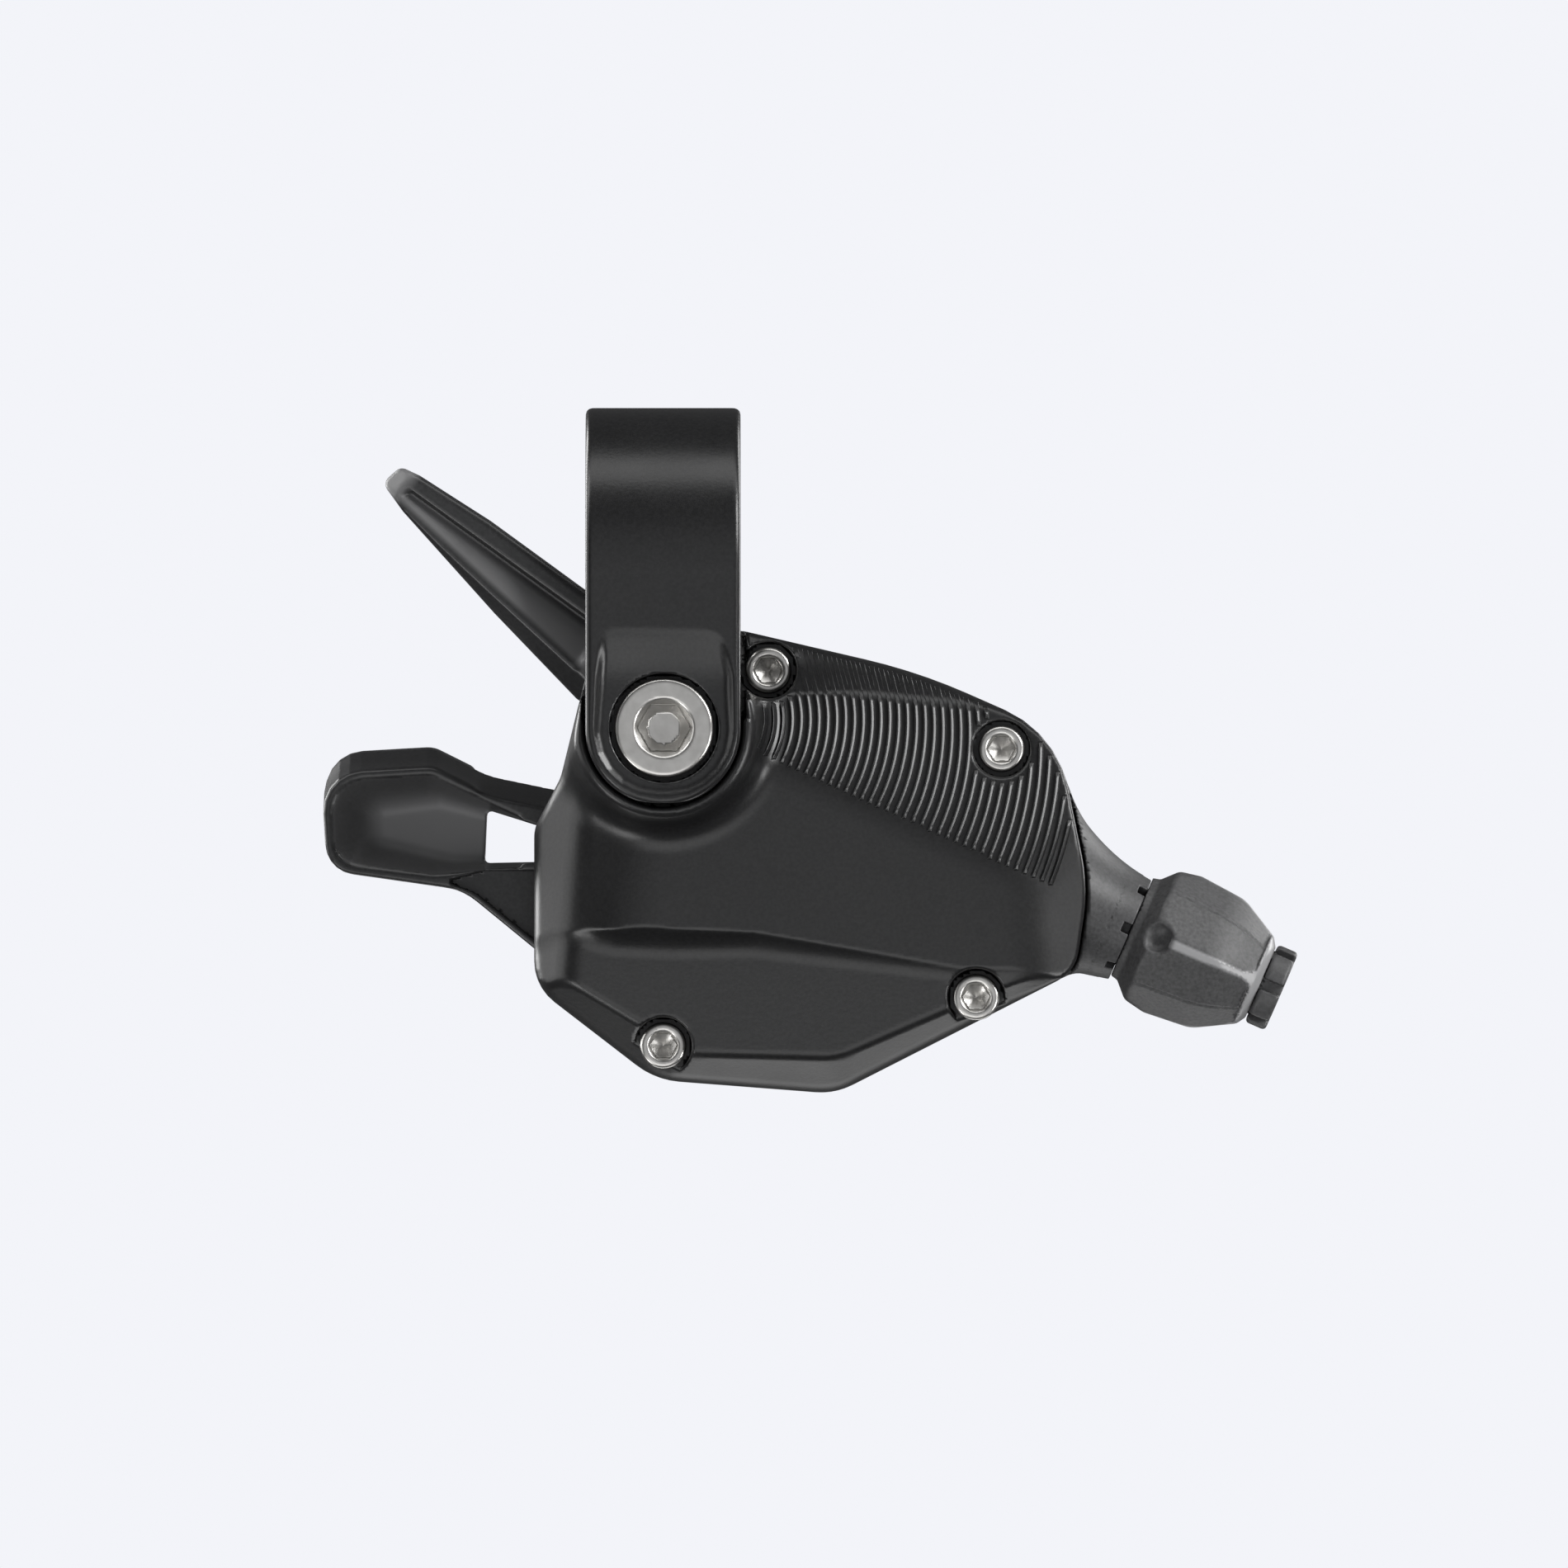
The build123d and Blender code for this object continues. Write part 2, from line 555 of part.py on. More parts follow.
# Base housing: the rear shell, the nozzle that carries the adjuster, and the slots of both levers
with BuildPart() as base_housing:
    for centre_x, centre_z, half_height, half_depth, lean in NOZZLE_SECTIONS:
        section = Plane(origin=(centre_x, CABLE_Y, centre_z), x_dir=(0, 1, 0),
                        z_dir=(cos(radians(lean)), 0, -sin(radians(lean))))
        with BuildSketch(section):
            Ellipse(half_depth, half_height)
    with BuildSketch(CABLE_PLANE):
        Circle(NOZZLE_R)
    loft()
    with BuildSketch(front(SEAM_Y)):
        add(casing_outline(SEAM_GAP))
    extrude(amount=2 * SEAM_Y, mode=Mode.SUBTRACT)
    with BuildSketch(front(BACK_Y)):
        add(casing_outline())
    extrude(amount=BACK_Y - SEAM_Y)
    fillet(base_housing.faces().sort_by(Axis.Y)[-1].edges(), BACK_ROUND)
    with BuildSketch(front(CAVITY_BACK_Y)):
        add(casing_outline(-WALL))
    extrude(amount=CAVITY_BACK_Y - SEAM_Y, mode=Mode.SUBTRACT)
    add(screw_posts(SEAM_Y, CAVITY_BACK_Y, POST_R))
    with BuildSketch(front(CAVITY_BACK_Y)):
        with Locations(HOLD_PAWL):
            Circle(PAWL_POST_R)
    extrude(amount=CAVITY_BACK_Y - DRIVE_Y - PAWL_SIDE_GAP)
    with BuildSketch(front(SEAM_Y)):
        with Locations(*[(x, z) for x, z, _ in SCREW_PLACES]):
            Circle(SCREW_R + SCREW_FIT)
    extrude(amount=-(SCREW_GRIP + WALL), mode=Mode.SUBTRACT)
    with BuildSketch(front(DRIVE_Y)):
        with Locations(HOLD_PAWL):
            Circle(PAWL_PIN_R + PAWL_FIT)
    extrude(amount=-PAWL_PIN_DEEP, mode=Mode.SUBTRACT)
    with BuildSketch(front(AXLE_BACK_Y)):
        with Locations(AXLE):
            Circle(AXLE_R + AXLE_FIT)
    extrude(amount=BACK_Y, mode=Mode.SUBTRACT)
    with BuildSketch(front(AXLE_BACK_Y)):
        with Locations(AXLE):
            Circle(AXLE_NUT_R + NUT_CLEAR)
    extrude(amount=AXLE_NUT_T, mode=Mode.SUBTRACT)
    # Slot of the release lever, a sector about its pin
    with BuildSketch(front(LEVER_Y - LEVER_SLOT_CLEAR)):
        with BuildLine():
            Polyline(RELEASE, *[polar(RELEASE, SLOT_REACH, a) for a in RELEASE_SLOT_ANGLES], close=True)
        make_face()
    extrude(amount=LEVER_Y - LEVER_SLOT_CLEAR - SEAM_Y, mode=Mode.SUBTRACT)
    # Slot of the thumb lever, a sector about the axle, and room outside it for the paddle
    for far_y, inner in [(CAVITY_BACK_Y, 0.0), (2 * BACK_Y, PADDLE_SWEEP_R)]:
        with BuildSketch(front(far_y)):
            with BuildLine():
                Polyline(AXLE, *[polar(AXLE, SLOT_REACH, a) for a in THUMB_SLOT_ANGLES], close=True)
            make_face()
            if inner:
                with Locations(AXLE):
                    Circle(inner, mode=Mode.SUBTRACT)
        extrude(amount=far_y - LEVER_Y + LEVER_SLOT_CLEAR, mode=Mode.SUBTRACT)
    # Bores along the cable line
    for radius, deep in [(SLEEVE_R + BARREL_FIT, SLEEVE_DEEP + DETENT_T + 2 * DETENT_GAP),
                         (BARREL_R + BARREL_FIT, BARREL_DEEP + KNOB_GAP), (CABLE_HOLE_R, CABLE_HOLE_DEEP)]:
        with BuildSketch(CABLE_PLANE):
            Circle(radius)
        extrude(amount=-deep, mode=Mode.SUBTRACT)
    with BuildSketch(CABLE_PLANE):
        with PolarLocations(NOZZLE_R, NOTCH_COUNT):
            Circle(NOTCH_R)
    extrude(amount=-NOTCH_DEEP, mode=Mode.SUBTRACT)

main_axle = round_bar("main_axle", AXLE, AXLE_R, AXLE_FRONT_Y, AXLE_BACK_Y)
thrust_washer = round_bar("thrust_washer", AXLE, HUB_R, STACK_BACK_Y + WASHER_GAP, LEVER_Y - WASHER_GAP,
                          AXLE_R + AXLE_FIT)
release_lever_pin = round_bar("release_lever_pin", RELEASE, RELEASE_PIN_R, RELEASE_PIN_Y, RELEASE_BACK_Y)
hold_pawl_pin = round_bar("hold_pawl_pin", HOLD_PAWL, PAWL_PIN_R, INDEX_Y - PAWL_SPRING_H - STACK_GAP,
                          DRIVE_Y + PAWL_PIN_DEEP)
drive_pawl_pin = round_bar("drive_pawl_pin", DRIVE_PAWL, PAWL_PIN_R, DRIVE_Y - PAWL_SPRING_H - PAWL_SIDE_GAP,
                           LEVER_BACK_Y)

# Nut on the rear end of the axle
with BuildPart() as axle_nut:
    with BuildSketch(front(AXLE_BACK_Y)):
        with Locations(AXLE):
            RegularPolygon(AXLE_NUT_R, 6)
            Circle(AXLE_R + THREAD_FIT, mode=Mode.SUBTRACT)
    extrude(amount=AXLE_NUT_T)

# Cable spool: a grooved drum, with a keyed hub behind it for the two ratchet plates
with BuildPart() as cable_spool:
    with BuildSketch(front(INDEX_Y)):
        with Locations(AXLE):
            Circle(SPOOL_R)
    extrude(amount=SPOOL_WIDTH)
    with BuildSketch(front(STACK_BACK_Y)):
        with Locations(AXLE):
            Circle(HUB_R)
        with Locations((AXLE_X + HUB_R, AXLE_Z)):
            Rectangle(2 * KEY_HEIGHT, KEY_WIDTH)
    extrude(amount=STACK_BACK_Y - INDEX_Y)
    with BuildSketch(Plane(origin=(AXLE_X, CABLE_Y, AXLE_Z), z_dir=(0, 0, 1))):
        with Locations((SPOOL_TRACK_R + SPOOL_FLANGE / 2, 0)):
            Rectangle(SPOOL_FLANGE + 2 * CABLE_R, 3 * CABLE_R)
    revolve(axis=Axis((AXLE_X, 0, AXLE_Z), (0, 1, 0)), mode=Mode.SUBTRACT)
    with BuildSketch(front(STACK_BACK_Y)):
        with Locations(AXLE):
            Circle(AXLE_R + AXLE_FIT)
    extrude(amount=BACK_Y, mode=Mode.SUBTRACT)


def ratchet(name, tip_radius, near):
    """Toothed plate keyed on the spool's hub, with saw teeth over its working arc."""
    root_radius = tip_radius - TOOTH_DEPTH
    with BuildPart() as plate:
        with BuildSketch(front(near + RATCHET_T)):
            with Locations(AXLE):
                Circle(root_radius)
            for i in range(int(360 / TOOTH_STEP)):
                start = i * TOOTH_STEP
                with BuildLine():
                    Polyline(polar(AXLE, root_radius - TOOTH_DEPTH, start), polar(AXLE, tip_radius, start),
                             polar(AXLE, root_radius, start + TOOTH_STEP / 2),
                             polar(AXLE, root_radius - TOOTH_DEPTH, start + TOOTH_STEP / 2), close=True)
                make_face()
            with Locations(AXLE):
                Circle(HUB_R + HUB_FIT, mode=Mode.SUBTRACT)
            with Locations((AXLE_X + HUB_R, AXLE_Z)):
                Rectangle(2 * (KEY_HEIGHT + HUB_FIT), KEY_WIDTH + 2 * HUB_FIT, mode=Mode.SUBTRACT)
        extrude(amount=RATCHET_T)
    plate.part.label = name
    return plate.part


index_ratchet = ratchet("index_ratchet", INDEX_TIP_R, INDEX_Y)
drive_ratchet = ratchet("drive_ratchet", DRIVE_TIP_R, DRIVE_Y)


def pawl(name, pivot, tip_radius, nose_angle, near):
    """Small lever from its pivot to a nose that stands just clear of the tooth tips."""
    nose = polar(AXLE, tip_radius + PAWL_CLEAR + PAWL_NOSE / 2, nose_angle)
    far = near + RATCHET_T - PAWL_SIDE_GAP
    with BuildPart() as lever:
        with BuildSketch(front(far)):
            with Locations(pivot):
                Circle(PAWL_HUB_R)
            with Locations(nose):
                Circle(PAWL_NOSE / 2)
            make_hull()
            with Locations(pivot):
                Circle(PAWL_PIN_R + PAWL_FIT, mode=Mode.SUBTRACT)
        extrude(amount=far - near - PAWL_SIDE_GAP)
    lever.part.label = name
    return lever.part


hold_pawl = pawl("hold_pawl", HOLD_PAWL, INDEX_TIP_R, HOLD_NOSE_ANGLE, INDEX_Y)
drive_pawl = pawl("drive_pawl", DRIVE_PAWL, DRIVE_TIP_R, DRIVE_NOSE_ANGLE, DRIVE_Y)


def coil_spring(name, centre, radius, wire_r, near, far, turns):
    """Round-wire torsion spring wound about an axis along Y."""
    height = far - near - 2 * wire_r
    with BuildPart() as spring:
        with BuildLine() as path:
            Helix(height / turns, height, radius, center=(centre[0], near + wire_r, centre[1]),
                  direction=(0, 1, 0))
        with BuildSketch(Plane(origin=path.line @ 0, z_dir=path.line % 0)):
            Circle(wire_r)
        sweep(is_frenet=True)
    spring.part.label = name
    return spring.part


spool_spring = coil_spring("spool_spring", AXLE, SPOOL_SPRING_R, SPRING_WIRE_R, COVER_CAVITY_Y + SPRING_GAP,
                           SPOOL_FRONT_Y - SPRING_GAP, SPOOL_SPRING_TURNS)
thumb_lever_spring = coil_spring("thumb_lever_spring", AXLE, THUMB_SPRING_R, SPRING_WIRE_R,
                                 LEVER_BACK_Y + BUSH_FLANGE + SPRING_GAP, CAVITY_BACK_Y - SPRING_GAP,
                                 THUMB_SPRING_TURNS)
release_lever_spring = coil_spring("release_lever_spring", RELEASE, RELEASE_SPRING_R, RELEASE_WIRE_R,
                                   SEAM_Y + SPRING_GAP, SEAM_Y + RELEASE_SPRING_H - SPRING_GAP,
                                   RELEASE_SPRING_TURNS)
hold_pawl_spring = coil_spring("hold_pawl_spring", HOLD_PAWL, PAWL_SPRING_R, PAWL_WIRE_R,
                               INDEX_Y - PAWL_SPRING_H, INDEX_Y, PAWL_SPRING_TURNS)
drive_pawl_spring = coil_spring("drive_pawl_spring", DRIVE_PAWL, PAWL_SPRING_R, PAWL_WIRE_R,
                                DRIVE_Y - PAWL_SPRING_H, DRIVE_Y, PAWL_SPRING_TURNS)

# Bush of the thumb lever on the axle, with a flange behind the plate
with BuildPart() as thumb_lever_bush:
    with BuildSketch(front(LEVER_BACK_Y + BUSH_FLANGE)):
        with Locations(AXLE):
            Circle(HUB_R)
    extrude(amount=BUSH_FLANGE)
    with BuildSketch(front(LEVER_BACK_Y)):
        with Locations(AXLE):
            Circle(AXLE_R + AXLE_FIT + BUSH_WALL)
    extrude(amount=LEVER_PLATE_T)
    with BuildSketch(front(BACK_Y)):
        with Locations(AXLE):
            Circle(AXLE_R + AXLE_FIT)
    extrude(amount=BACK_Y, mode=Mode.SUBTRACT)


def face_at(depth, corners, rise=0.0):
    """Front-view polygon at a depth, raised evenly, with each corner rounded by its own radius."""
    with BuildSketch(front(depth)) as outline:
        with BuildLine():
            Polyline(*[(x, z + rise) for x, z, _ in corners], close=True)
        make_face()
        for x, z, radius in corners:
            fillet(outline.vertices().sort_by_distance((x, z + rise, 0))[0], radius)
    return outline.sketch


# Thumb lever: a plate on the axle and a dished paddle outside the casing
with BuildPart() as thumb_lever:
    with BuildSketch(front(LEVER_BACK_Y)):
        with BuildLine():
            Polyline(*THUMB_PLATE, close=True)
        make_face()
        with Locations(AXLE):
            Circle(HUB_R + WALL)
    extrude(amount=LEVER_PLATE_T)
    loft([face_at(LEVER_Y, PADDLE_RIM), face_at(PADDLE_BACK_Y, PADDLE_RIM, PADDLE_RISE)])
    loft([face_at(LEVER_Y, DISH_RIM), face_at(LEVER_Y + DISH_DEPTH, DISH_FLOOR)], mode=Mode.SUBTRACT)
    with BuildSketch(front(2 * BACK_Y)):
        with BuildLine():
            Polyline(*THUMB_WINDOW, close=True)
        make_face()
    extrude(amount=2 * BACK_Y, mode=Mode.SUBTRACT)
    with BuildSketch(front(LEVER_BACK_Y)):
        with Locations(AXLE):
            Circle(AXLE_R + AXLE_FIT + BUSH_WALL + HUB_FIT)
        with Locations(DRIVE_PAWL):
            Circle(PAWL_PIN_R + PAWL_FIT)
    extrude(amount=LEVER_PLATE_T, mode=Mode.SUBTRACT)

# Release lever: a scooped blade behind the bar, on its own pin
with BuildPart() as release_lever:
    with BuildSketch(front(RELEASE_BACK_Y)):
        with BuildLine():
            Polyline(*RELEASE_BLADE, close=True)
        make_face()
        with Locations(RELEASE):
            Circle(RELEASE_HUB_R)
    extrude(amount=RELEASE_BACK_Y - SEAM_Y - RELEASE_GAP)
    with BuildSketch(front(SEAM_Y + RELEASE_SPRING_H)):
        with Locations(RELEASE):
            Circle(RELEASE_HUB_R + WALL / 2)
    extrude(amount=RELEASE_SPRING_H, mode=Mode.SUBTRACT)
    with BuildSketch(front(RELEASE_BACK_Y)):
        with Locations(RELEASE):
            Circle(RELEASE_PIN_R + RELEASE_FIT)
    extrude(amount=RELEASE_BACK_Y, mode=Mode.SUBTRACT)
    (ridge_x, ridge_z), (ridge_end_x, ridge_end_z) = BLADE_RIDGE
    ridge_run, ridge_fall = ridge_end_x - ridge_x, ridge_z - ridge_end_z
    blade_front_y = SEAM_Y + RELEASE_GAP
    bevel_back_y = blade_front_y + BLADE_RIDGE_SLOPE * hypot(ridge_run, ridge_fall)
    split(bisect_by=facet((ridge_x, blade_front_y, ridge_z), (ridge_end_x, blade_front_y, ridge_end_z),
                          (ridge_x - ridge_fall, bevel_back_y, ridge_z - ridge_run)), keep=Keep.BOTTOM)
    scoop_root, scoop_tip = SCOOP_LINE
    scoop_length = hypot(scoop_tip[0] - scoop_root[0], scoop_tip[1] - scoop_root[1])
    scoop_plane = Plane(origin=(scoop_root[0], SEAM_Y - SCOOP_AHEAD, scoop_root[1]), x_dir=(0, 1, 0),
                        z_dir=(scoop_tip[0] - scoop_root[0], 0, scoop_tip[1] - scoop_root[1]))
    with BuildSketch(scoop_plane):
        Circle(SCOOP_R)
    extrude(amount=scoop_length, taper=SCOOP_TAPER, mode=Mode.SUBTRACT)

# Adjuster knob: a flared six-sided grip that turns on the nozzle
knob_start = KNOB_GAP
knob_end = KNOB_GAP + KNOB_LENGTH
with BuildPart() as adjuster_knob:
    with BuildSketch(Plane(origin=CABLE_PLANE.origin, x_dir=CABLE_DIR, z_dir=(0, 1, 0))):
        with BuildLine():
            Polyline((knob_start, 0), (knob_start, NOZZLE_R), (knob_start + KNOB_FLARE / 2, NOZZLE_R),
                     (knob_start + KNOB_FLARE, KNOB_R), (knob_end - KNOB_CONE, KNOB_R),
                     (knob_end, KNOB_END_R), (knob_end, 0), close=True)
        make_face()
    revolve(axis=Axis(CABLE_PLANE.origin, CABLE_DIR))
    with BuildSketch(CABLE_PLANE):
        RegularPolygon(KNOB_FLAT_R, KNOB_FLATS, major_radius=False)
    extrude(amount=knob_end, mode=Mode.INTERSECT)
    with BuildSketch(CABLE_PLANE.offset(knob_start + KNOB_FLARE / 2)):
        with PolarLocations(KNOB_FLAT_R + GROOVE_R - GROOVE_DEPTH, KNOB_FLATS, start_angle=180 / KNOB_FLATS):
            Circle(GROOVE_R)
    extrude(amount=KNOB_LENGTH, mode=Mode.SUBTRACT)
    with BuildSketch(CABLE_PLANE.offset(-SLEEVE_DEEP)):
        Circle(SLEEVE_R)
    extrude(amount=SLEEVE_DEEP + knob_start)
    with BuildSketch(CABLE_PLANE.offset(-SLEEVE_DEEP)):
        Circle(BARREL_R + BARREL_FIT)
    extrude(amount=SLEEVE_DEEP + knob_end, mode=Mode.SUBTRACT)

# Adjuster barrel: a hollow screw inside the knob, with a slotted collar outside it
with BuildPart() as adjuster_barrel:
    with BuildSketch(CABLE_PLANE.offset(-BARREL_DEEP)):
        Circle(BARREL_R)
    extrude(amount=BARREL_DEEP + knob_end + COLLAR_END_GAP)
    with BuildSketch(CABLE_PLANE.offset(knob_end + COLLAR_END_GAP)):
        Circle(COLLAR_END_R)
    extrude(amount=COLLAR_END_LENGTH)
    with BuildSketch(CABLE_PLANE.offset(knob_end + COLLAR_END_GAP)):
        with PolarLocations(COLLAR_END_R, COLLAR_SLOTS):
            Rectangle(COLLAR_SLOT_DEEP, COLLAR_SLOT_WIDTH)
    extrude(amount=COLLAR_END_LENGTH, mode=Mode.SUBTRACT)
    with BuildSketch(CABLE_PLANE.offset(BARREL_STOP)):
        Circle(BARREL_BORE_R)
    extrude(amount=2 * KNOB_LENGTH, mode=Mode.SUBTRACT)
    with BuildSketch(CABLE_PLANE.offset(-BARREL_DEEP)):
        Circle(CABLE_HOLE_R)
    extrude(amount=BARREL_DEEP + BARREL_STOP, mode=Mode.SUBTRACT)

# Detent spring: a thin ring between the knob's sleeve and the bottom of the nozzle's bore
with BuildPart() as detent_spring:
    with BuildSketch(CABLE_PLANE.offset(-SLEEVE_DEEP - DETENT_GAP - DETENT_T)):
        Circle(SLEEVE_R)
        Circle(BARREL_R + 2 * BARREL_FIT, mode=Mode.SUBTRACT)
    extrude(amount=DETENT_T)

built = {
    "cover": cover, "cover_screws": cover_screws, "base_housing": base_housing,
    "clamp_band": clamp_band, "clamp_bolt": clamp_bolt, "axle_nut": axle_nut,
    "cable_spool": cable_spool, "thumb_lever_bush": thumb_lever_bush, "thumb_lever": thumb_lever,
    "release_lever": release_lever, "adjuster_knob": adjuster_knob, "adjuster_barrel": adjuster_barrel,
    "detent_spring": detent_spring,
}
pieces = [clamp_insert, main_axle, thrust_washer, release_lever_pin, hold_pawl_pin, drive_pawl_pin,
          index_ratchet, drive_ratchet, hold_pawl, drive_pawl, spool_spring, thumb_lever_spring,
          release_lever_spring, hold_pawl_spring, drive_pawl_spring]
for name, builder in built.items():
    builder.part.label = name
    pieces.append(builder.part)

os.makedirs("parts", exist_ok=True)
for piece in pieces:
    export_step(piece, f"parts/{piece.label}.step")
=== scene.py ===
import json
import math

import bpy
import numpy as np
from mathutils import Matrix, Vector


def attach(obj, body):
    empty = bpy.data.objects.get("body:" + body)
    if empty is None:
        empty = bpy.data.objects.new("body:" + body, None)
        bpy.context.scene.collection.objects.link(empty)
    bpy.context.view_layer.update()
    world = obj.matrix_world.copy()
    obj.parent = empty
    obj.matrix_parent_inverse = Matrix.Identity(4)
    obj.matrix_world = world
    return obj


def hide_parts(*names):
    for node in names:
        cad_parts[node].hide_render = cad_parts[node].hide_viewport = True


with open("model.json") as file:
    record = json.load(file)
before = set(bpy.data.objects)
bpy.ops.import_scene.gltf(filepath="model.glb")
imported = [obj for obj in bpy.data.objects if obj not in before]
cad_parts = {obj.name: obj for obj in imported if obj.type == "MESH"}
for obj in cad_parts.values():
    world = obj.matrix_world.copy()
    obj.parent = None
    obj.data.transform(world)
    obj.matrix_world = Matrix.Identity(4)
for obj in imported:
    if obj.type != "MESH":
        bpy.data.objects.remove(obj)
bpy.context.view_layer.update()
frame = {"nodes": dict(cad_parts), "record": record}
NODES = frame["nodes"]
MM = 0.001

# Photo framing: 135.7 mm across the picture at the bar's centre plane
VIEW_X, VIEW_Z = 10.36 * MM, -19.14 * MM
VIEW_WIDTH = 135.7 * MM
VIEW_DISTANCE = 6.0

scene = bpy.context.scene
scene.view_settings.view_transform = "Standard"


def shader(name):
    """New node material with its Principled shader."""
    mat = bpy.data.materials.new(name)
    mat.use_nodes = True
    return mat, mat.node_tree, mat.node_tree.nodes["Principled BSDF"]


# Finish of the plastics: noise scales in repeats per metre, grain depth in metres
GRAIN_SCALE, PATCH_SCALE, GRAIN_DEPTH = 3200.0, 180.0, 0.06 * MM
MARKS_SCALE = 900.0
SPECULAR = 0.5


def noise(tree, scale, detail):
    """Noise texture in the object's own space."""
    coord = tree.nodes.new("ShaderNodeTexCoord")
    texture = tree.nodes.new("ShaderNodeTexNoise")
    texture.inputs["Scale"].default_value = scale
    texture.inputs["Detail"].default_value = detail
    tree.links.new(coord.outputs["Object"], texture.inputs["Vector"])
    return texture


def two_tone(tree, bsdf, texture, low, dark, high, light):
    """Base colour that runs from a dark shade to a light one with a texture."""
    shade = tree.nodes.new("ShaderNodeValToRGB")
    first, second = shade.color_ramp.elements
    first.position, first.color = low, (*dark, 1)
    second.position, second.color = high, (*light, 1)
    tree.links.new(texture.outputs["Fac"], shade.inputs["Fac"])
    tree.links.new(shade.outputs["Color"], bsdf.inputs["Base Color"])


def uneven_gloss(tree, bsdf, texture, low, high):
    """Roughness that varies with a texture."""
    gloss = tree.nodes.new("ShaderNodeMapRange")
    gloss.inputs["To Min"].default_value = low
    gloss.inputs["To Max"].default_value = high
    tree.links.new(texture.outputs["Fac"], gloss.inputs["Value"])
    tree.links.new(gloss.outputs["Result"], bsdf.inputs["Roughness"])


def plastic(name, dark, light, rough, bump=0.15):
    """Moulded plastic: two close shades, a fine grain in the surface and uneven gloss."""
    mat, tree, bsdf = shader(name)
    fine = noise(tree, GRAIN_SCALE, 2.0)
    two_tone(tree, bsdf, fine, 0.3, dark, 0.7, light)
    uneven_gloss(tree, bsdf, noise(tree, PATCH_SCALE, 4.0), rough - 0.05, rough + 0.07)
    relief = tree.nodes.new("ShaderNodeBump")
    relief.inputs["Strength"].default_value = bump
    relief.inputs["Distance"].default_value = GRAIN_DEPTH
    tree.links.new(fine.outputs["Fac"], relief.inputs["Height"])
    tree.links.new(relief.outputs["Normal"], bsdf.inputs["Normal"])
    bsdf.inputs["Specular IOR Level"].default_value = SPECULAR
    return mat


def metal(name, dark, light, rough):
    """Bare metal with faint uneven marks."""
    mat, tree, bsdf = shader(name)
    marks = noise(tree, MARKS_SCALE, 5.0)
    two_tone(tree, bsdf, marks, 0.25, dark, 0.75, light)
    uneven_gloss(tree, bsdf, marks, rough - 0.06, rough + 0.08)
    bsdf.inputs["Metallic"].default_value = 1.0
    return mat


MATERIALS = {
    "cover": plastic("cover_plastic", (0.008, 0.008, 0.0084), (0.014, 0.014, 0.0145), 0.31),
    "base": plastic("base_plastic", (0.040, 0.040, 0.041), (0.070, 0.070, 0.072), 0.46),
    "clamp": plastic("clamp_coat", (0.008, 0.008, 0.0084), (0.014, 0.014, 0.0145), 0.29),
    "knob": plastic("knob_plastic", (0.052, 0.052, 0.053), (0.088, 0.088, 0.090), 0.5),
    "barrel": plastic("barrel_plastic", (0.05, 0.05, 0.051), (0.075, 0.075, 0.077), 0.45),
    "levers": plastic("lever_plastic", (0.018, 0.018, 0.0185), (0.030, 0.030, 0.031), 0.3, bump=0.04),
    "stainless": metal("stainless_satin", (0.5, 0.49, 0.47), (0.64, 0.63, 0.61), 0.3),
    "steel": metal("plain_steel", (0.4, 0.4, 0.4), (0.5, 0.5, 0.5), 0.35),
    "spool": plastic("spool_acetal", (0.7, 0.7, 0.67), (0.76, 0.76, 0.73), 0.45, bump=0.05),
    "bush": metal("bush_brass", (0.6, 0.46, 0.2), (0.72, 0.57, 0.27), 0.35),
}


def paint_highlight_and_gloss(slot, mark, values):
    """Painted highlight on a material where a piece carries a mark on its points: a paler colour and its own
    gloss there.
    """
    tree = MATERIALS[slot].node_tree
    bsdf = tree.nodes["Principled BSDF"]
    marked = tree.nodes.new("ShaderNodeAttribute")
    marked.attribute_name = mark
    for socket, value in values.items():
        mix = tree.nodes.new("ShaderNodeMix")
        mix.data_type = "RGBA" if socket == "Base Color" else "FLOAT"
        ends = [end for end in mix.inputs if end.enabled]
        tree.links.new(marked.outputs["Fac"], ends[0])
        tree.links.new(bsdf.inputs[socket].links[0].from_socket, ends[1])
        ends[2].default_value = value
        tree.links.new([end for end in mix.outputs if end.enabled][0], bsdf.inputs[socket])


# The knob's ridges and end are smoother than its panels and painted paler as a highlight, and the levers are
# painted paler as a highlight on the release lever's scoop and tip and toward the floor of the thumb lever's
# dish
paint_highlight_and_gloss("knob", "gloss_and_highlight", {"Base Color": (0.30, 0.30, 0.305, 1), "Roughness": 0.3})
paint_highlight_and_gloss("levers", "painted_highlight", {"Base Color": (0.16, 0.16, 0.162, 1), "Roughness": 0.42})
for part in frame["record"]["subparts"]:
    for held in NODES[part["node"]].material_slots:
        held.material = MATERIALS[part["material_slot"]]


# Shapes are signed distance fields in millimetres, negative inside, meshed on a grid and scaled to metres


def smax(a, b, k):
    """Larger of two fields, with the edge between them rounded over a width k."""
    h = np.maximum(k - np.abs(a - b), 0.0)
    return np.maximum(a, b) + h * h / (4.0 * k)


def smin(a, b, k):
    """Smaller of two fields, with a fillet of width k."""
    return -smax(-a, -b, k)


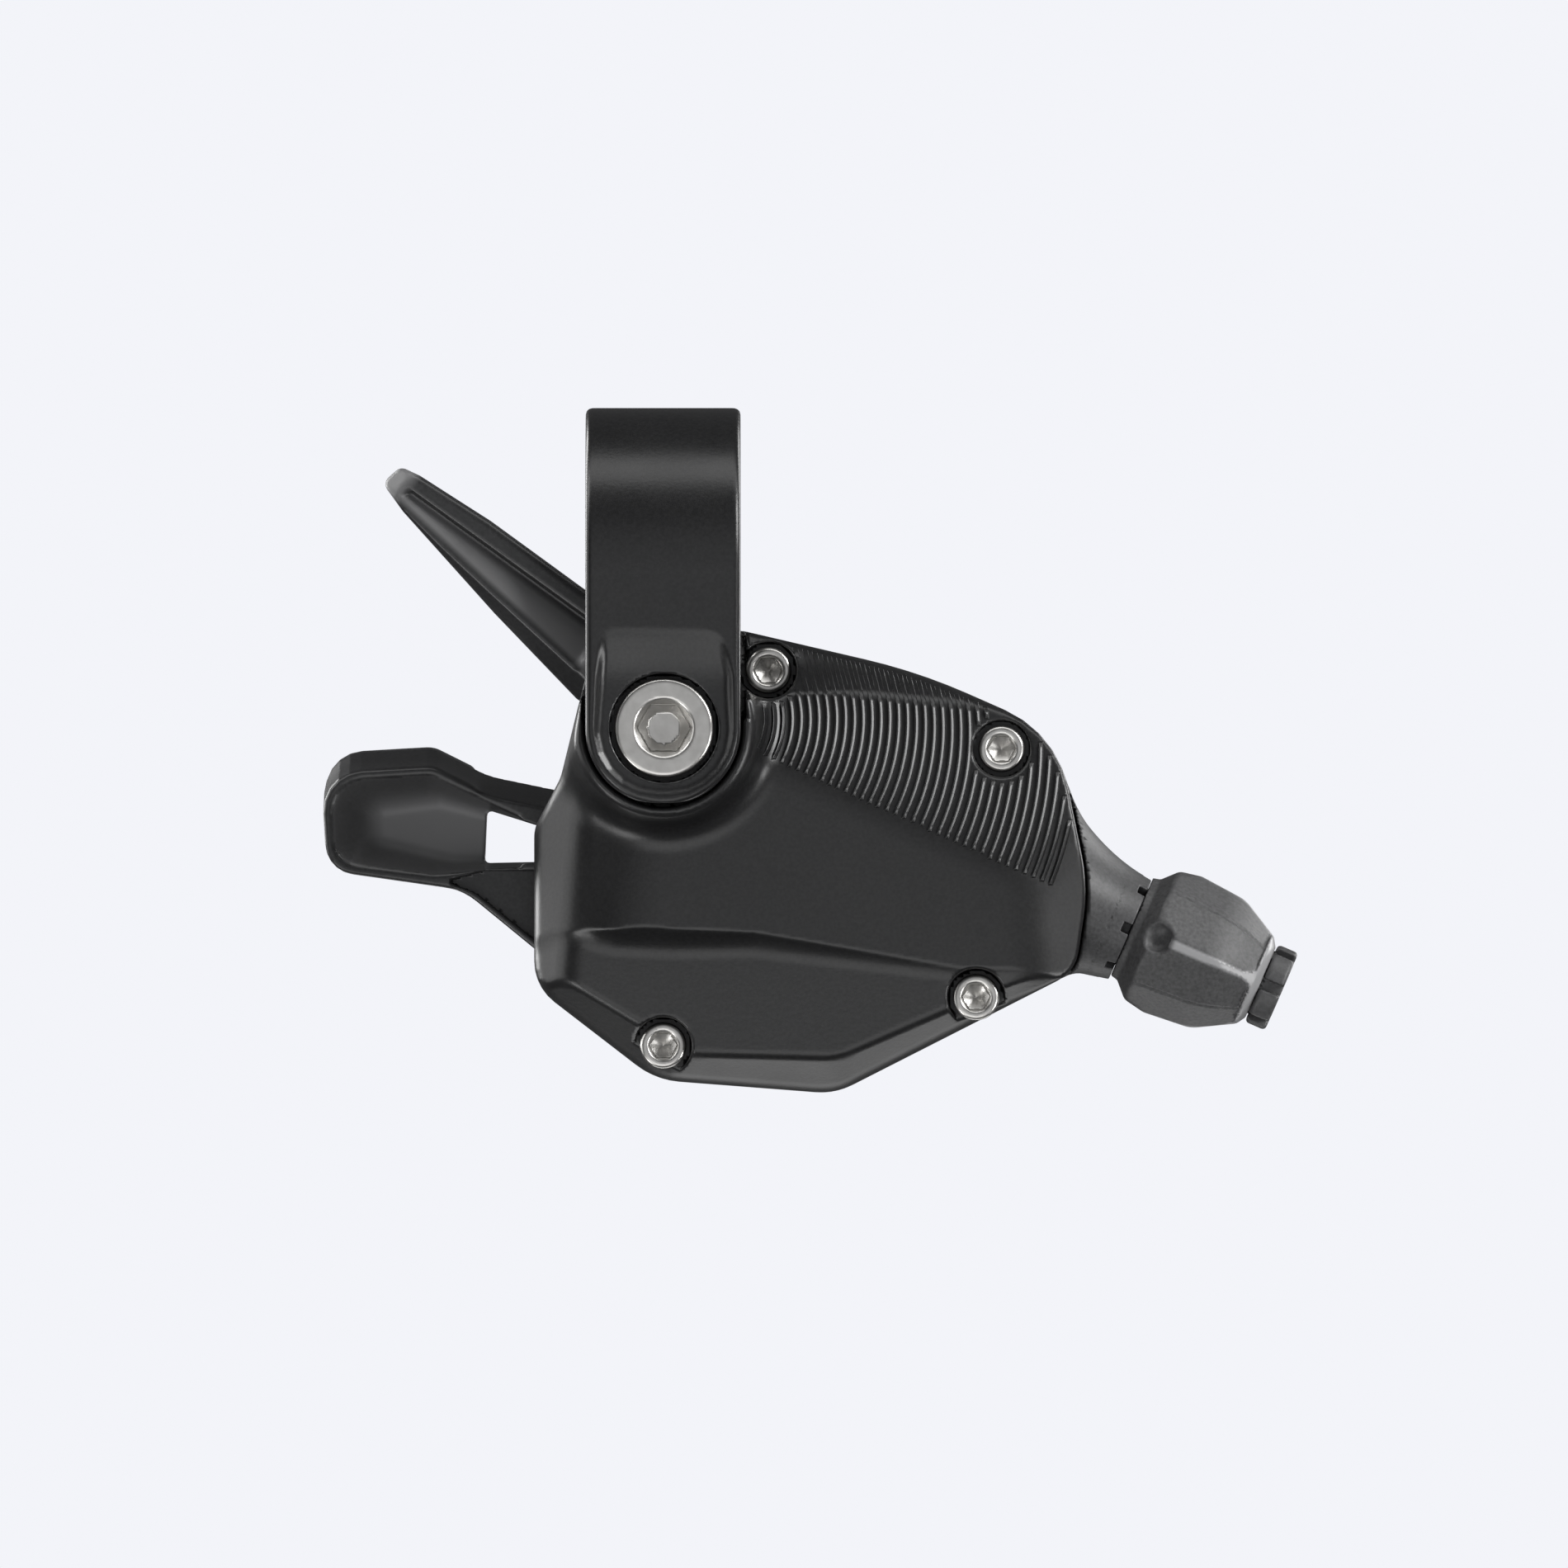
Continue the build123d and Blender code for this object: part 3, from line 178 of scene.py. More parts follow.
def rounded(corners, steps=8):
    """Closed outline through (u, v, radius) corners, each corner drawn as an arc."""
    points = []
    for i, (u, v, radius) in enumerate(corners):
        here = np.array((u, v))
        a = np.array(corners[i - 1][:2]) - here
        b = np.array(corners[(i + 1) % len(corners)][:2]) - here
        a, b = a / np.linalg.norm(a), b / np.linalg.norm(b)
        half = 0.5 * math.acos(float(np.clip(a @ b, -1, 1)))
        middle = here + (a + b) / np.linalg.norm(a + b) * radius / math.sin(half)
        start = here + a * radius / math.tan(half) - middle
        stop = here + b * radius / math.tan(half) - middle
        turn = math.atan2(start[0] * stop[1] - start[1] * stop[0], float(start @ stop))
        for t in np.linspace(0, turn, steps + 1):
            c, s = math.cos(t), math.sin(t)
            points.append(middle + (c * start[0] - s * start[1], s * start[0] + c * start[1]))
    return np.array(points)


def outline(points):
    """Signed distance in a plane to a closed outline."""
    points = np.asarray(points, float)
    ends = np.roll(points, -1, 0)

    def distance(u, v):
        shape = np.broadcast(u, v).shape
        best = np.full(shape, 1e9)
        inside = np.zeros(shape, bool)
        for (au, av), (bu, bv) in zip(points, ends):
            eu, ev, wu, wv = bu - au, bv - av, u - au, v - av
            t = np.clip((wu * eu + wv * ev) / max(eu * eu + ev * ev, 1e-12), 0, 1)
            best = np.minimum(best, (wu - eu * t) ** 2 + (wv - ev * t) ** 2)
            up, down, left = v >= av, v < bv, eu * wv > ev * wu
            inside ^= (up & down & left) | ~(up | down | left)
        return np.where(inside, -1.0, 1.0) * np.sqrt(best)

    return distance


def disc(x, z, centre, radius):
    """Signed distance to a round bar along Y, from places in the front view."""
    return np.hypot(x - centre[0], z - centre[1]) - radius


def make_piece(name, points, faces, normals=None):
    """Mesh object from points in millimetres."""
    mesh = bpy.data.meshes.new(name)
    mesh.from_pydata(np.asarray(points) * MM, [], faces)
    mesh.polygons.foreach_set("use_smooth", np.ones(len(mesh.polygons), bool))
    if normals is not None:
        mesh.normals_split_custom_set_from_vertices(normals)
    piece = bpy.data.objects.new(name, mesh)
    scene.collection.objects.link(piece)
    return piece


def dress(piece, body, slot, *nodes):
    """Rides a piece on its body, in place of CAD nodes, with the finish of a record slot."""
    piece.data.materials.append(MATERIALS[slot])
    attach(piece, body)
    if nodes:
        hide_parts(*nodes)


def mark_points(piece, name, amount):
    """Stores an amount from 0 to 1 on a piece's points, worked out from their places in millimetres."""
    place = np.empty(len(piece.data.vertices) * 3)
    piece.data.vertices.foreach_get("co", place)
    value = amount(*(place.reshape(-1, 3).T / MM))
    piece.data.attributes.new(name, "FLOAT", "POINT").data.foreach_set("value", value)


def solid(name, field, low, high, cell):
    """Smooth closed mesh of a field's surface: one point in each crossed cell, moved onto it."""
    low = np.array(low, float)
    count = np.ceil((np.array(high) - low) / cell).astype(int) + 1
    x, y, z = np.ogrid[0:count[0], 0:count[1], 0:count[2]]
    value = field(low[0] + cell * x, low[1] + cell * y, low[2] + cell * z)
    inside = np.broadcast_to(value, count) < 0
    total = sum(inside[i:count[0] - 1 + i, j:count[1] - 1 + j, k:count[2] - 1 + k].astype(np.int8)
                for i in (0, 1) for j in (0, 1) for k in (0, 1))
    crossed = (total > 0) & (total < 8)
    index = np.full(crossed.shape, -1)
    index[crossed] = np.arange(int(crossed.sum()))
    centre = low + cell * (np.argwhere(crossed) + 0.5)
    points = centre.copy()
    small, reach = 0.02 * cell, 0.75 * cell

    def slope(p, here):
        return np.stack([field(*(p + d).T) - here for d in np.eye(3) * small], 1) / small

    for _ in range(3):
        here = field(*points.T)
        g = slope(points, here)
        step = here[:, None] * g / np.maximum((g * g).sum(1), 0.2)[:, None]
        points = np.clip(points - np.clip(step, -cell, cell), centre - reach, centre + reach)
    faces = []
    for axis in range(3):
        a, b = (axis + 1) % 3, (axis + 2) % 3
        turned = inside.transpose(axis, a, b)
        cells = index.transpose(axis, a, b)
        here, there = turned[:-1, 1:-1, 1:-1], turned[1:, 1:-1, 1:-1]
        i, j, k = np.nonzero(here != there)
        quad = np.stack([cells[i, j, k], cells[i, j + 1, k], cells[i, j + 1, k + 1], cells[i, j, k + 1]], 1)
        outward = here[i, j, k]
        faces.append(np.where(outward[:, None], quad, quad[:, ::-1]))
    normals = slope(points, field(*points.T))
    normals /= np.maximum(np.linalg.norm(normals, axis=1), 1e-9)[:, None]
    return make_piece(name, points, np.concatenate(faces).tolist(), normals)


# Casing outline in the front view, shared by the cover, its ribs and the base, and the raised plateau
CASING = outline(rounded([
    (7.0, -5.9, 1.5), (22.0, -9.4, 50.0), (34.0, -14.7, 9.5), (36.7, -28.0, 16.0), (35.6, -35.4, 3.5),
    (14.8, -46.0, 6.0), (-0.8, -44.8, 7.0), (-11.3, -36.7, 4.5), (-11.3, -23.0, 3.0), (-9.0, -18.6, 4.0),
    (-5.6, -4.9, 2.5)], 5))
PLATEAU = outline(rounded([(-6.2, -4.0, 1.0), (-6.2, -28.6, 3.0), (1.0, -29.4, 4.0), (8.0, -29.8, 6.0),
                           (26.0, -33.0, 6.0), (48.0, -33.0, 1.0), (48.0, -4.0, 1.0)], 5))

# Levels of the casing along Y, and sizes that several pieces share
SEAM_Y, BACK_Y, BACK_INSIDE_Y = 14.0, 28.0, 25.2
WALL = 2.2
BAR_R, BAND_R = 11.1, 13.4
EAR_X, EAR_HALF = -0.1, 6.7
BOLT, BOLT_HOLE_R = (0.0, -14.3), 2.75
AXLE, AXLE_HOLE_R = (6.0, -28.0), 2.56
RELEASE = (4.0, -12.0)
CABLE_START = (40.5, 14.0, -31.5)
CABLE_X, CABLE_Z = 0.917060, -0.398749

# Cover screws: X, Z and depth of the head's front face
SCREWS = [(9.0, -9.3, 8.8), (29.2, -16.1, 5.6), (-0.1, -41.8, 6.3), (27.0, -37.6, 3.0)]
SCREW_HEAD_H, SCREW_HOLE_R = 1.8, 1.3

# Ridge of the cover, with the ribbed field above it and the plateau below it
RIDGE_LEFT, RIDGE_RUN, RIDGE_LENGTH = (8.1, -17.6), (28.4, -12.6), 31.07
RIDGE_Y = 2.0
FIELD_SLOPE, FIELD_SCALE = 0.36, 0.941
PLATEAU_SLOPE = 0.05
PLATEAU_DRAFT, PLATEAU_SCALE = 0.839, 0.766

# Facets of the cover: depth at a place in the front view, that place, the slopes along X and Z, and the
# scale that turns depth below the facet into distance
TOP_FACET = (4.1, (11.6, -11.3), (0.236, 1.3), 0.604)
RIGHT_FACET = (2.2, (31.5, 0.0), (0.5, 0.0), 0.894)
LEFT_FACET = (5.25, (-8.3, 0.0), (-1.25, 0.0), 0.625)
SHOULDER_FACET = (5.2, (-8.3, 0.0), (-0.5, 0.0), 0.894)
LOWER_FACE = (4.9, (0.0, -36.0), (-0.085, -0.11), 0.99)
LOW_CREASES = [((-10.8, -34.8), (-1.5, -40.4)), ((2.6, -42.6), (14.5, -42.9)), ((17.1, -42.0), (24.2, -38.9))]
LOW_SLOPE, LOW_SCALE = 1.5, 0.55

# Collar round the clamp's ears, and the room for the bar, the band and the ears
COLLAR_R, COLLAR_DRAFT, COLLAR_SCALE = 7.85, 0.14, 0.99
COLLAR_FRONT_Y, COLLAR_FOOT_Y = -3.4, 9.8
BAR_ROOM_R, BAND_ROOM_R, BAND_ROOM_HALF = 11.9, 13.8, 7.0
EAR_ROOM, EAR_ROOM_Y = 0.15, 5.2

# Edge of the cover's front, which gets sharper over a stretch at the right
RIM_EDGE, RIM_EDGE_LOSS, RIM_LOSS_X, RIM_LOSS_RUN = 0.8, 0.45, 29.0, 4.0

# Posts and holes inside the cover
COVER_INSIDE_Y = 8.4
SCREW_POST_R, SCREW_POCKET_R = 3.05, 2.45
RELEASE_POST_R, RELEASE_PIN_R, RELEASE_PIN_Y = 3.5, 1.35, 9.6
AXLE_BOSS_R, AXLE_BOSS_Y, AXLE_HOLE_Y = 4.76, 11.7, 8.0
INSERT_BOSS_R, INSERT_BOSS_Y, INSERT_R, INSERT_Y = 5.3, 11.66, 3.15, 8.06
BOLT_HOLE_Y = 8.2
CABLE_HOLE_R, CABLE_HOLE_HALF = 1.0, 7.0


def cable_axes(x, y, z):
    """Distance along the cable line from the nozzle's end, depth from it, and height across it."""
    s = (x - CABLE_START[0]) * CABLE_X + (z - CABLE_START[2]) * CABLE_Z
    v = (z - CABLE_START[2]) * CABLE_X - (x - CABLE_START[0]) * CABLE_Z
    return s, y - CABLE_START[1], v


def ear(x, z):
    """Front view of the clamp band: straight sides and a round end about the bolt."""
    return np.where(z > BOLT[1], np.abs(x - EAR_X), np.hypot(x - EAR_X, z - BOLT[1])) - EAR_HALF


def below_ridge(x, z):
    """Distance below the ridge line of the cover."""
    return ((x - RIDGE_LEFT[0]) * RIDGE_RUN[1] - (z - RIDGE_LEFT[1]) * RIDGE_RUN[0]) / RIDGE_LENGTH


def facet_y(facet, x, z):
    """Depth of a facet at places in the front view."""
    depth, place, slopes, _ = facet
    return depth + slopes[0] * (x - place[0]) + slopes[1] * (z - place[1])


def facet_field(facet, x, y, z):
    """Signed distance to a facet."""
    return (facet_y(facet, x, z) - y) * facet[3]


def cover_front(x, y, z):
    """Facets of the cover's front: the field, the top facet and the plateau over the lower faces."""
    down = below_ridge(x, z)
    field = (RIDGE_Y - FIELD_SLOPE * down - y) * FIELD_SCALE
    plateau = RIDGE_Y + PLATEAU_SLOPE * down - y
    high = smax(smax(field, plateau, 0.4), facet_field(TOP_FACET, x, y, z), 0.4)
    high = smax(high, facet_field(RIGHT_FACET, x, y, z), 1.2)
    left = facet_field(LEFT_FACET, x, y, z)
    low = smax(facet_field(LOWER_FACE, x, y, z), left, 1.2)
    for (ax, az), (bx, bz) in LOW_CREASES:
        out = ((x - ax) * (bz - az) - (z - az) * (bx - ax)) / math.hypot(bx - ax, bz - az)
        low = smax(low, (facet_y(LOWER_FACE, x, z) + LOW_SLOPE * out - y) * LOW_SCALE, 0.5)
    low = smax(low, high, 0.4)
    raised = smax(smax(high, facet_field(SHOULDER_FACET, x, y, z), 1.6), left, 1.2)
    raised = smax(raised, (PLATEAU(x, z) - PLATEAU_DRAFT * y) * PLATEAU_SCALE, 0.2)
    return smin(low, raised, 0.9)


def cover_hollow(x, y, z):
    """Room behind the cover's wall, less its posts and bosses."""
    hollow = np.maximum(CASING(x, z) + WALL, COVER_INSIDE_Y - y)
    for sx, sz, _ in SCREWS:
        hollow = np.maximum(hollow, -disc(x, z, (sx, sz), SCREW_POST_R))
    hollow = np.maximum(hollow, -disc(x, z, RELEASE, RELEASE_POST_R))
    hollow = np.maximum(hollow, -np.maximum(disc(x, z, AXLE, AXLE_BOSS_R), y - AXLE_BOSS_Y))
    return np.maximum(hollow, -np.maximum(disc(x, z, BOLT, INSERT_BOSS_R), y - INSERT_BOSS_Y))


def cover_field(x, y, z):
    """Cover: facets inside the casing outline, a collar round the clamp's ears, and the hollow behind."""
    collar = (disc(x, z, BOLT, COLLAR_R) - COLLAR_DRAFT * (y - COLLAR_FRONT_Y)) * COLLAR_SCALE
    collar = smax(collar, COLLAR_FRONT_Y - y, 1.2)
    body = smin(cover_front(x, y, z), np.maximum(collar, y - COLLAR_FOOT_Y), 2.4)
    edge = RIM_EDGE - RIM_EDGE_LOSS * np.clip((x - RIM_LOSS_X) / RIM_LOSS_RUN, 0, 1)
    body = smax(smax(body, CASING(x, z), edge), y - SEAM_Y, 0.25)
    from_bar = np.hypot(y, z)
    body = smax(body, BAR_ROOM_R - from_bar, 0.5)
    body = smax(body, -np.maximum(from_bar - BAND_ROOM_R, np.abs(x) - BAND_ROOM_HALF), 0.3)
    body = smax(body, -np.maximum(ear(x, z) - EAR_ROOM, y - EAR_ROOM_Y), 0.5)
    body = np.maximum(body, -cover_hollow(x, y, z))
    for sx, sz, head in SCREWS:
        pocket = np.maximum(disc(x, z, (sx, sz), SCREW_POCKET_R), y - head - SCREW_HEAD_H)
        body = smax(body, -pocket, 0.35)
        body = np.maximum(body, -disc(x, z, (sx, sz), SCREW_HOLE_R))
    body = np.maximum(body, -np.maximum(disc(x, z, BOLT, INSERT_R), INSERT_Y - y))
    body = np.maximum(body, -np.maximum(disc(x, z, BOLT, BOLT_HOLE_R), y - BOLT_HOLE_Y))
    body = np.maximum(body, -np.maximum(disc(x, z, AXLE, AXLE_HOLE_R), AXLE_HOLE_Y - y))
    body = np.maximum(body, -np.maximum(disc(x, z, RELEASE, RELEASE_PIN_R), RELEASE_PIN_Y - y))
    s, u, v = cable_axes(x, y, z)
    cable_hole = np.maximum(np.hypot(u, v) - CABLE_HOLE_R, np.abs(s + CABLE_HOLE_HALF) - CABLE_HOLE_HALF)
    return np.maximum(body, -cable_hole)


dress(solid("cover_shell", cover_field, low=(-12.0, -4.4, -47.0), high=(37.6, 14.6, -3.6), cell=0.28),
      "housing", "cover", "cover")


def depth_at(field, x, z, near, far):
    """Depth at which lines of sight first meet a field."""
    levels = np.arange(near, far, 0.1)
    hit = (field(x[:, None], levels[None, :], z[:, None]) < 0).argmax(1)
    a, b = levels[np.maximum(hit - 1, 0)], levels[hit]
    for _ in range(12):
        mid = 0.5 * (a + b)
        solid_there = field(x, mid, z) < 0
        a, b = np.where(solid_there, a, mid), np.where(solid_there, mid, b)
    return b


# Ribs of the field: thin bowed bars with tops that lean to the right, broken at the crease and at the screws.
# A section point is its offset along X and its height over the cover
RIB_SECTION = [(-0.18, -0.3), (-0.18, 0.0), (-0.12, 0.22), (-0.06, 0.24), (0.0, 0.215), (0.12, 0.16),
               (0.18, 0.13), (0.26, 0.0), (0.26, -0.3)]
RIB_COUNT, RIB_FIRST_X, RIB_PITCH = 37, 8.0, 0.768
RIB_TOP_Z, RIB_LOW_Z, RIB_STEP = -6.0, -31.0, 0.16
BOW_R, BOW_GROWTH, BOW_X = 3.2, 0.9, 6.0
BOW_Z, BOW_DROP, BOW_DROP_X = -13.5, 0.19, 20.0
BOW_SHARE = 0.97
CREASE_X, CREASE_Z, CREASE_SLOPE = 11.6, -11.0, 0.11
TOP_LEAN, TOP_HEIGHT = 0.26, 0.4
RIDGE_ROOM, RIDGE_ROOM_LOSS = 0.95, 0.012
SCREW_ROOM_R, COLLAR_ROOM_R = 2.75, 8.3
SHORTEST_RUN, FADE_STEPS = 6, 3.0
RIB_NEAR_Y, RIB_FAR_Y = -4.0, 13.5


def rib_runs(bow_x):
    """Stretches of one rib between its breaks: X, Z and share of the full height at points along each."""
    radius = BOW_GROWTH * (bow_x - BOW_X) + BOW_R
    bow_z = BOW_Z - BOW_DROP * max(0.0, bow_x - BOW_DROP_X)
    z = np.arange(RIB_TOP_Z, RIB_LOW_Z, -RIB_STEP)
    x = bow_x - (radius - np.sqrt(np.maximum(radius ** 2 - (z - bow_z) ** 2, 0.0)))
    crease_z = CREASE_Z - CREASE_SLOPE * (x - CREASE_X)
    turn = np.argmax(z < crease_z)
    x = np.where(z > crease_z, x[turn] - TOP_LEAN * (z - z[turn]), x)
    keep = (np.abs(z - bow_z) < BOW_SHARE * radius) | (z > bow_z)
    keep &= (CASING(x, z) < -0.3) & (CASING(x + 0.3, z) < -0.1)
    keep &= below_ridge(x, z) < -RIDGE_ROOM + RIDGE_ROOM_LOSS * (x - RIB_FIRST_X)
    for sx, sz, _ in SCREWS[:2]:
        keep &= disc(x, z, (sx, sz), SCREW_ROOM_R) > 0
    keep &= disc(x, z, BOLT, COLLAR_ROOM_R) > 0
    edges = np.flatnonzero(np.diff(np.concatenate([[0], keep.astype(int), [0]])))
    for start, stop in edges.reshape(-1, 2):
        if stop - start >= SHORTEST_RUN:
            steps = np.arange(stop - start)
            fade = np.minimum(1.0, np.minimum(steps, steps[::-1]) / FADE_STEPS)
            height = np.where(z[start:stop] > crease_z[start:stop], TOP_HEIGHT, 1.0) * fade
            yield x[start:stop], z[start:stop], height


rib_points, rib_faces = [], []
n = len(RIB_SECTION)
for i in range(RIB_COUNT):
    for px, pz, height in rib_runs(RIB_FIRST_X + RIB_PITCH * i):
        first = len(rib_points)
        last = first + (len(px) - 1) * n
        rows = []
        for du, dh in RIB_SECTION:
            sy = depth_at(cover_field, px + du, pz, RIB_NEAR_Y, RIB_FAR_Y)
            rows.append(np.stack([px + du, sy - np.where(dh > 0, dh * height, dh), pz], 1))
        rib_points.extend(np.stack(rows, 1).reshape(-1, 3).tolist())
        for row in range(first, last, n):
            for c in range(n):
                d = (c + 1) % n
                rib_faces.append([row + c, row + d, row + n + d, row + n + c])
        rib_faces.append(list(range(first, first + n))[::-1])
        rib_faces.append(list(range(last, last + n)))
dress(make_piece("cover_ribs", rib_points, rib_faces), "housing", "cover")


def around(centre, radius, degrees):
    """Place at a distance and angle from a centre in the front view."""
    angle = math.radians(degrees)
    return centre[0] + radius * math.cos(angle), centre[1] + radius * math.sin(angle)


def sector(centre, first, last):
    """Front-view outline of a wide sector about a pivot, between two angles in degrees."""
    return outline([centre] + [around(centre, SECTOR_R, a) for a in np.linspace(first, last, 5)])


# Base housing: the rear shell with the nozzle that carries the adjuster, and the slots of both levers
SECTOR_R = 60.0
RELEASE_SLOT, RELEASE_SLOT_Y = sector(RELEASE, 190.0, 80.0), 19.8
THUMB_SLOT, THUMB_SLOT_Y, THUMB_OPEN_R = sector(AXLE, 206.0, 104.0), 19.55, 20.5
HOLD_PAWL, HOLD_PAWL_POST_R, HOLD_PAWL_POST_Y = around(AXLE, 14.5, 301.0), 2.2, 17.85
BACK_ROUND = 2.5
FILL_Y, FILL_INSET, COVER_SIDE_ROOM = 13.5, 0.35, 0.2
BASE_INSIDE_Y = 13.0
BASE_POST_R, BASE_SCREW_END_Y = 2.6, 22.2
NUT_ROOM_R, NUT_ROOM_Y = 4.7, 26.6

# Nozzle: it widens toward the casing. Bores are radius and depth from its end
NOZZLE_R, NOZZLE_LENGTH, NOZZLE_DROP, NOZZLE_SQUASH = 4.7, 11.0, 0.3, 0.9
FLARE, FLARE_CURVE, FLARE_DROP, FLARE_SCALE = 0.14, 0.0165, 0.06, 0.9
NOZZLE_BORES = [(3.66, 2.2), (2.96, 3.3), (1.0, 14.0)]
NOTCH_STEP, NOTCH_REACH, NOTCH_HALF, NOTCH_DEPTH = math.pi / 4, 0.8, 0.45, 0.75
SHELL_END_S, NOZZLE_END_S = -1.6, -2.0


def nozzle_field(s, u, v):
    """Outside of the nozzle, from places along and across the cable line."""
    back = np.clip(-s, 0.0, NOZZLE_LENGTH)
    radius = NOZZLE_R + FLARE * back + FLARE_CURVE * back * back
    height = v + NOZZLE_DROP + FLARE_DROP * back - FLARE_CURVE * back * back
    nozzle = np.hypot(NOZZLE_SQUASH * u, height) - radius
    return smax(nozzle, np.maximum(s, -s - NOZZLE_LENGTH), 0.1) * FLARE_SCALE


def base_hollow(x, y, z):
    """Room inside the base housing, less its posts."""
    hollow = np.maximum(CASING(x, z) + WALL, np.maximum(BASE_INSIDE_Y - y, y - BACK_INSIDE_Y))
    for sx, sz, _ in SCREWS:
        hollow = np.maximum(hollow, -disc(x, z, (sx, sz), BASE_POST_R))
    return np.maximum(hollow, -np.maximum(disc(x, z, HOLD_PAWL, HOLD_PAWL_POST_R), HOLD_PAWL_POST_Y - y))


def base_field(x, y, z):
    """Base housing with its nozzle, lever slots and holes."""
    rim = CASING(x, z)
    s, u, v = cable_axes(x, y, z)
    # Inside the rim the shell runs past the seam, and what lies on the cover's side is then cut off
    fill = np.maximum(FILL_Y - y, rim + FILL_INSET)
    shell = smax(smax(rim, y - BACK_Y, BACK_ROUND), np.minimum(SEAM_Y - y, fill), 0.25)
    body = smin(shell, nozzle_field(s, u, v), 1.2)
    body = smax(body, -np.maximum(rim - COVER_SIDE_ROOM, y - SEAM_Y), 0.3)
    body = np.maximum(body, -base_hollow(x, y, z))
    for sx, sz, _ in SCREWS:
        body = np.maximum(body, -np.maximum(disc(x, z, (sx, sz), SCREW_HOLE_R), y - BASE_SCREW_END_Y))
    body = np.maximum(body, -disc(x, z, AXLE, AXLE_HOLE_R))
    body = np.maximum(body, -np.maximum(disc(x, z, AXLE, NUT_ROOM_R), NUT_ROOM_Y - y))
    body = smax(body, -np.maximum(RELEASE_SLOT(x, z), y - RELEASE_SLOT_Y), 0.3)
    thumb_room = np.maximum(THUMB_SLOT(x, z), THUMB_SLOT_Y - y)
    body = smax(body, -np.maximum(thumb_room, y - BACK_INSIDE_Y), 0.3)
    body = smax(body, -np.maximum(thumb_room, -disc(x, z, AXLE, THUMB_OPEN_R)), 0.3)
    r = np.hypot(u, v)
    for radius, depth in NOZZLE_BORES:
        body = np.maximum(body, -np.maximum(r - radius, -depth - s))
    across = (np.arctan2(v + NOZZLE_DROP, -u) + NOTCH_STEP / 2) % NOTCH_STEP - NOTCH_STEP / 2
    notch = np.abs(np.hypot(u, v + NOZZLE_DROP) - NOZZLE_R) - NOTCH_REACH
    notch = np.maximum(np.maximum(notch, np.abs(r * across) - NOTCH_HALF), -NOTCH_DEPTH - s)
    return smax(body, -notch, 0.1)


def shell_field(x, y, z):
    """Base housing up to the nozzle's end."""
    return np.maximum(base_field(x, y, z), cable_axes(x, y, z)[0] - SHELL_END_S)


def nozzle_end_field(x, y, z):
    """End of the nozzle, with its notches."""
    return np.maximum(base_field(x, y, z), NOZZLE_END_S - cable_axes(x, y, z)[0])


dress(solid("base_shell", shell_field, low=(-12.0, 5.5, -47.0), high=(43.5, 28.6, -3.8), cell=0.33),
      "housing", "base", "base_housing")
dress(solid("base_nozzle_end", nozzle_end_field, low=(36.0, 8.0, -37.0), high=(43.5, 20.0, -26.0), cell=0.12),
      "housing", "base", "base_housing")

# Clamp band: a split ring, two ears and a scooped seat for the bolt's head
BAND_SIDE = outline([(-13.4, 0.0), (-12.5, -20.9), (5.2, -20.9), (5.2, 0.0)])
SEAT = outline(rounded([(-4.9, -6.0, 1.2), (4.6, -6.3, 1.6), (5.7, -9.8, 3.0), (5.95, -14.3, 4.0),
                        (5.7, -20.1, 5.4), (-5.7, -20.1, 5.4), (-5.95, -14.3, 4.0), (-5.6, -9.8, 3.0)], 5))
SEAT_Y, SEAT_WALL_Y, SEAT_DRAFT = -12.15, -12.6, 0.7
SEAT_RISE, SEAT_RISE_Z, SEAT_SCALE = 0.3, -9.5, 0.97
SPLIT_HALF = 0.6
HEAD_ROOM_R = 4.7

# Clamp bolt: the head's front and back along Y, the shank's ends, and the socket with its countersink
HEAD_R, HEAD_FRONT_Y, HEAD_BACK_Y = 4.3, -12.2, -8.0
SHANK_R, SHANK_FRONT_Y, SHANK_BACK_Y = 2.5, -9.0, 11.26
SOCKET_ACROSS, SOCKET_FLOOR_Y, SOCKET_FLOOR_R, SOCKET_SCALE = 4.0, -9.8, 1.4, 0.7
SINK_R, SINK_Y, SINK_SLOPE, SINK_SCALE = 2.6, -11.5, 0.9, 0.74

# Cover screws, with depths measured from the head's front face
SCREW_HEAD_R, SCREW_R, SCREW_NECK, SCREW_END_Y = 2.0, 1.25, 1.0, 20.0
SCREW_SOCKET_ACROSS, SCREW_SOCKET_DEPTH, SCREW_FLOOR_SLOPE, SCREW_FLOOR_SCALE = 2.1, 1.35, 0.75, 0.8
SCREW_SINK_R, SCREW_SINK_DEPTH = 1.35, 0.4
SCREW_BOX, SCREW_BOX_FRONT, SCREW_BOX_BACK_Y = 2.3, 0.3, 20.4


def clamp_field(x, y, z):
    """Clamp band with rounded outer edges."""
    ring = np.hypot(y, z)
    band = smax(np.minimum(ring - BAND_R, BAND_SIDE(y, z)), ear(x, z), 0.7)
    band = smax(band, BAR_R - ring, 0.3)
    band = smax(band, -np.maximum(np.abs(y) - SPLIT_HALF, z), 0.3)
    level = y - SEAT_Y
    floor = smax(level, level + SEAT_RISE * (z - SEAT_RISE_Z), 0.6)
    seat = smax(SEAT(x, z) + SEAT_DRAFT * (y - SEAT_WALL_Y), floor * SEAT_SCALE, 0.5)
    band = smax(band, -seat, 0.35)
    band = smax(band, -np.maximum(disc(x, z, BOLT, HEAD_ROOM_R), y - HEAD_BACK_Y), 0.2)
    return np.maximum(band, -disc(x, z, BOLT, BOLT_HOLE_R))


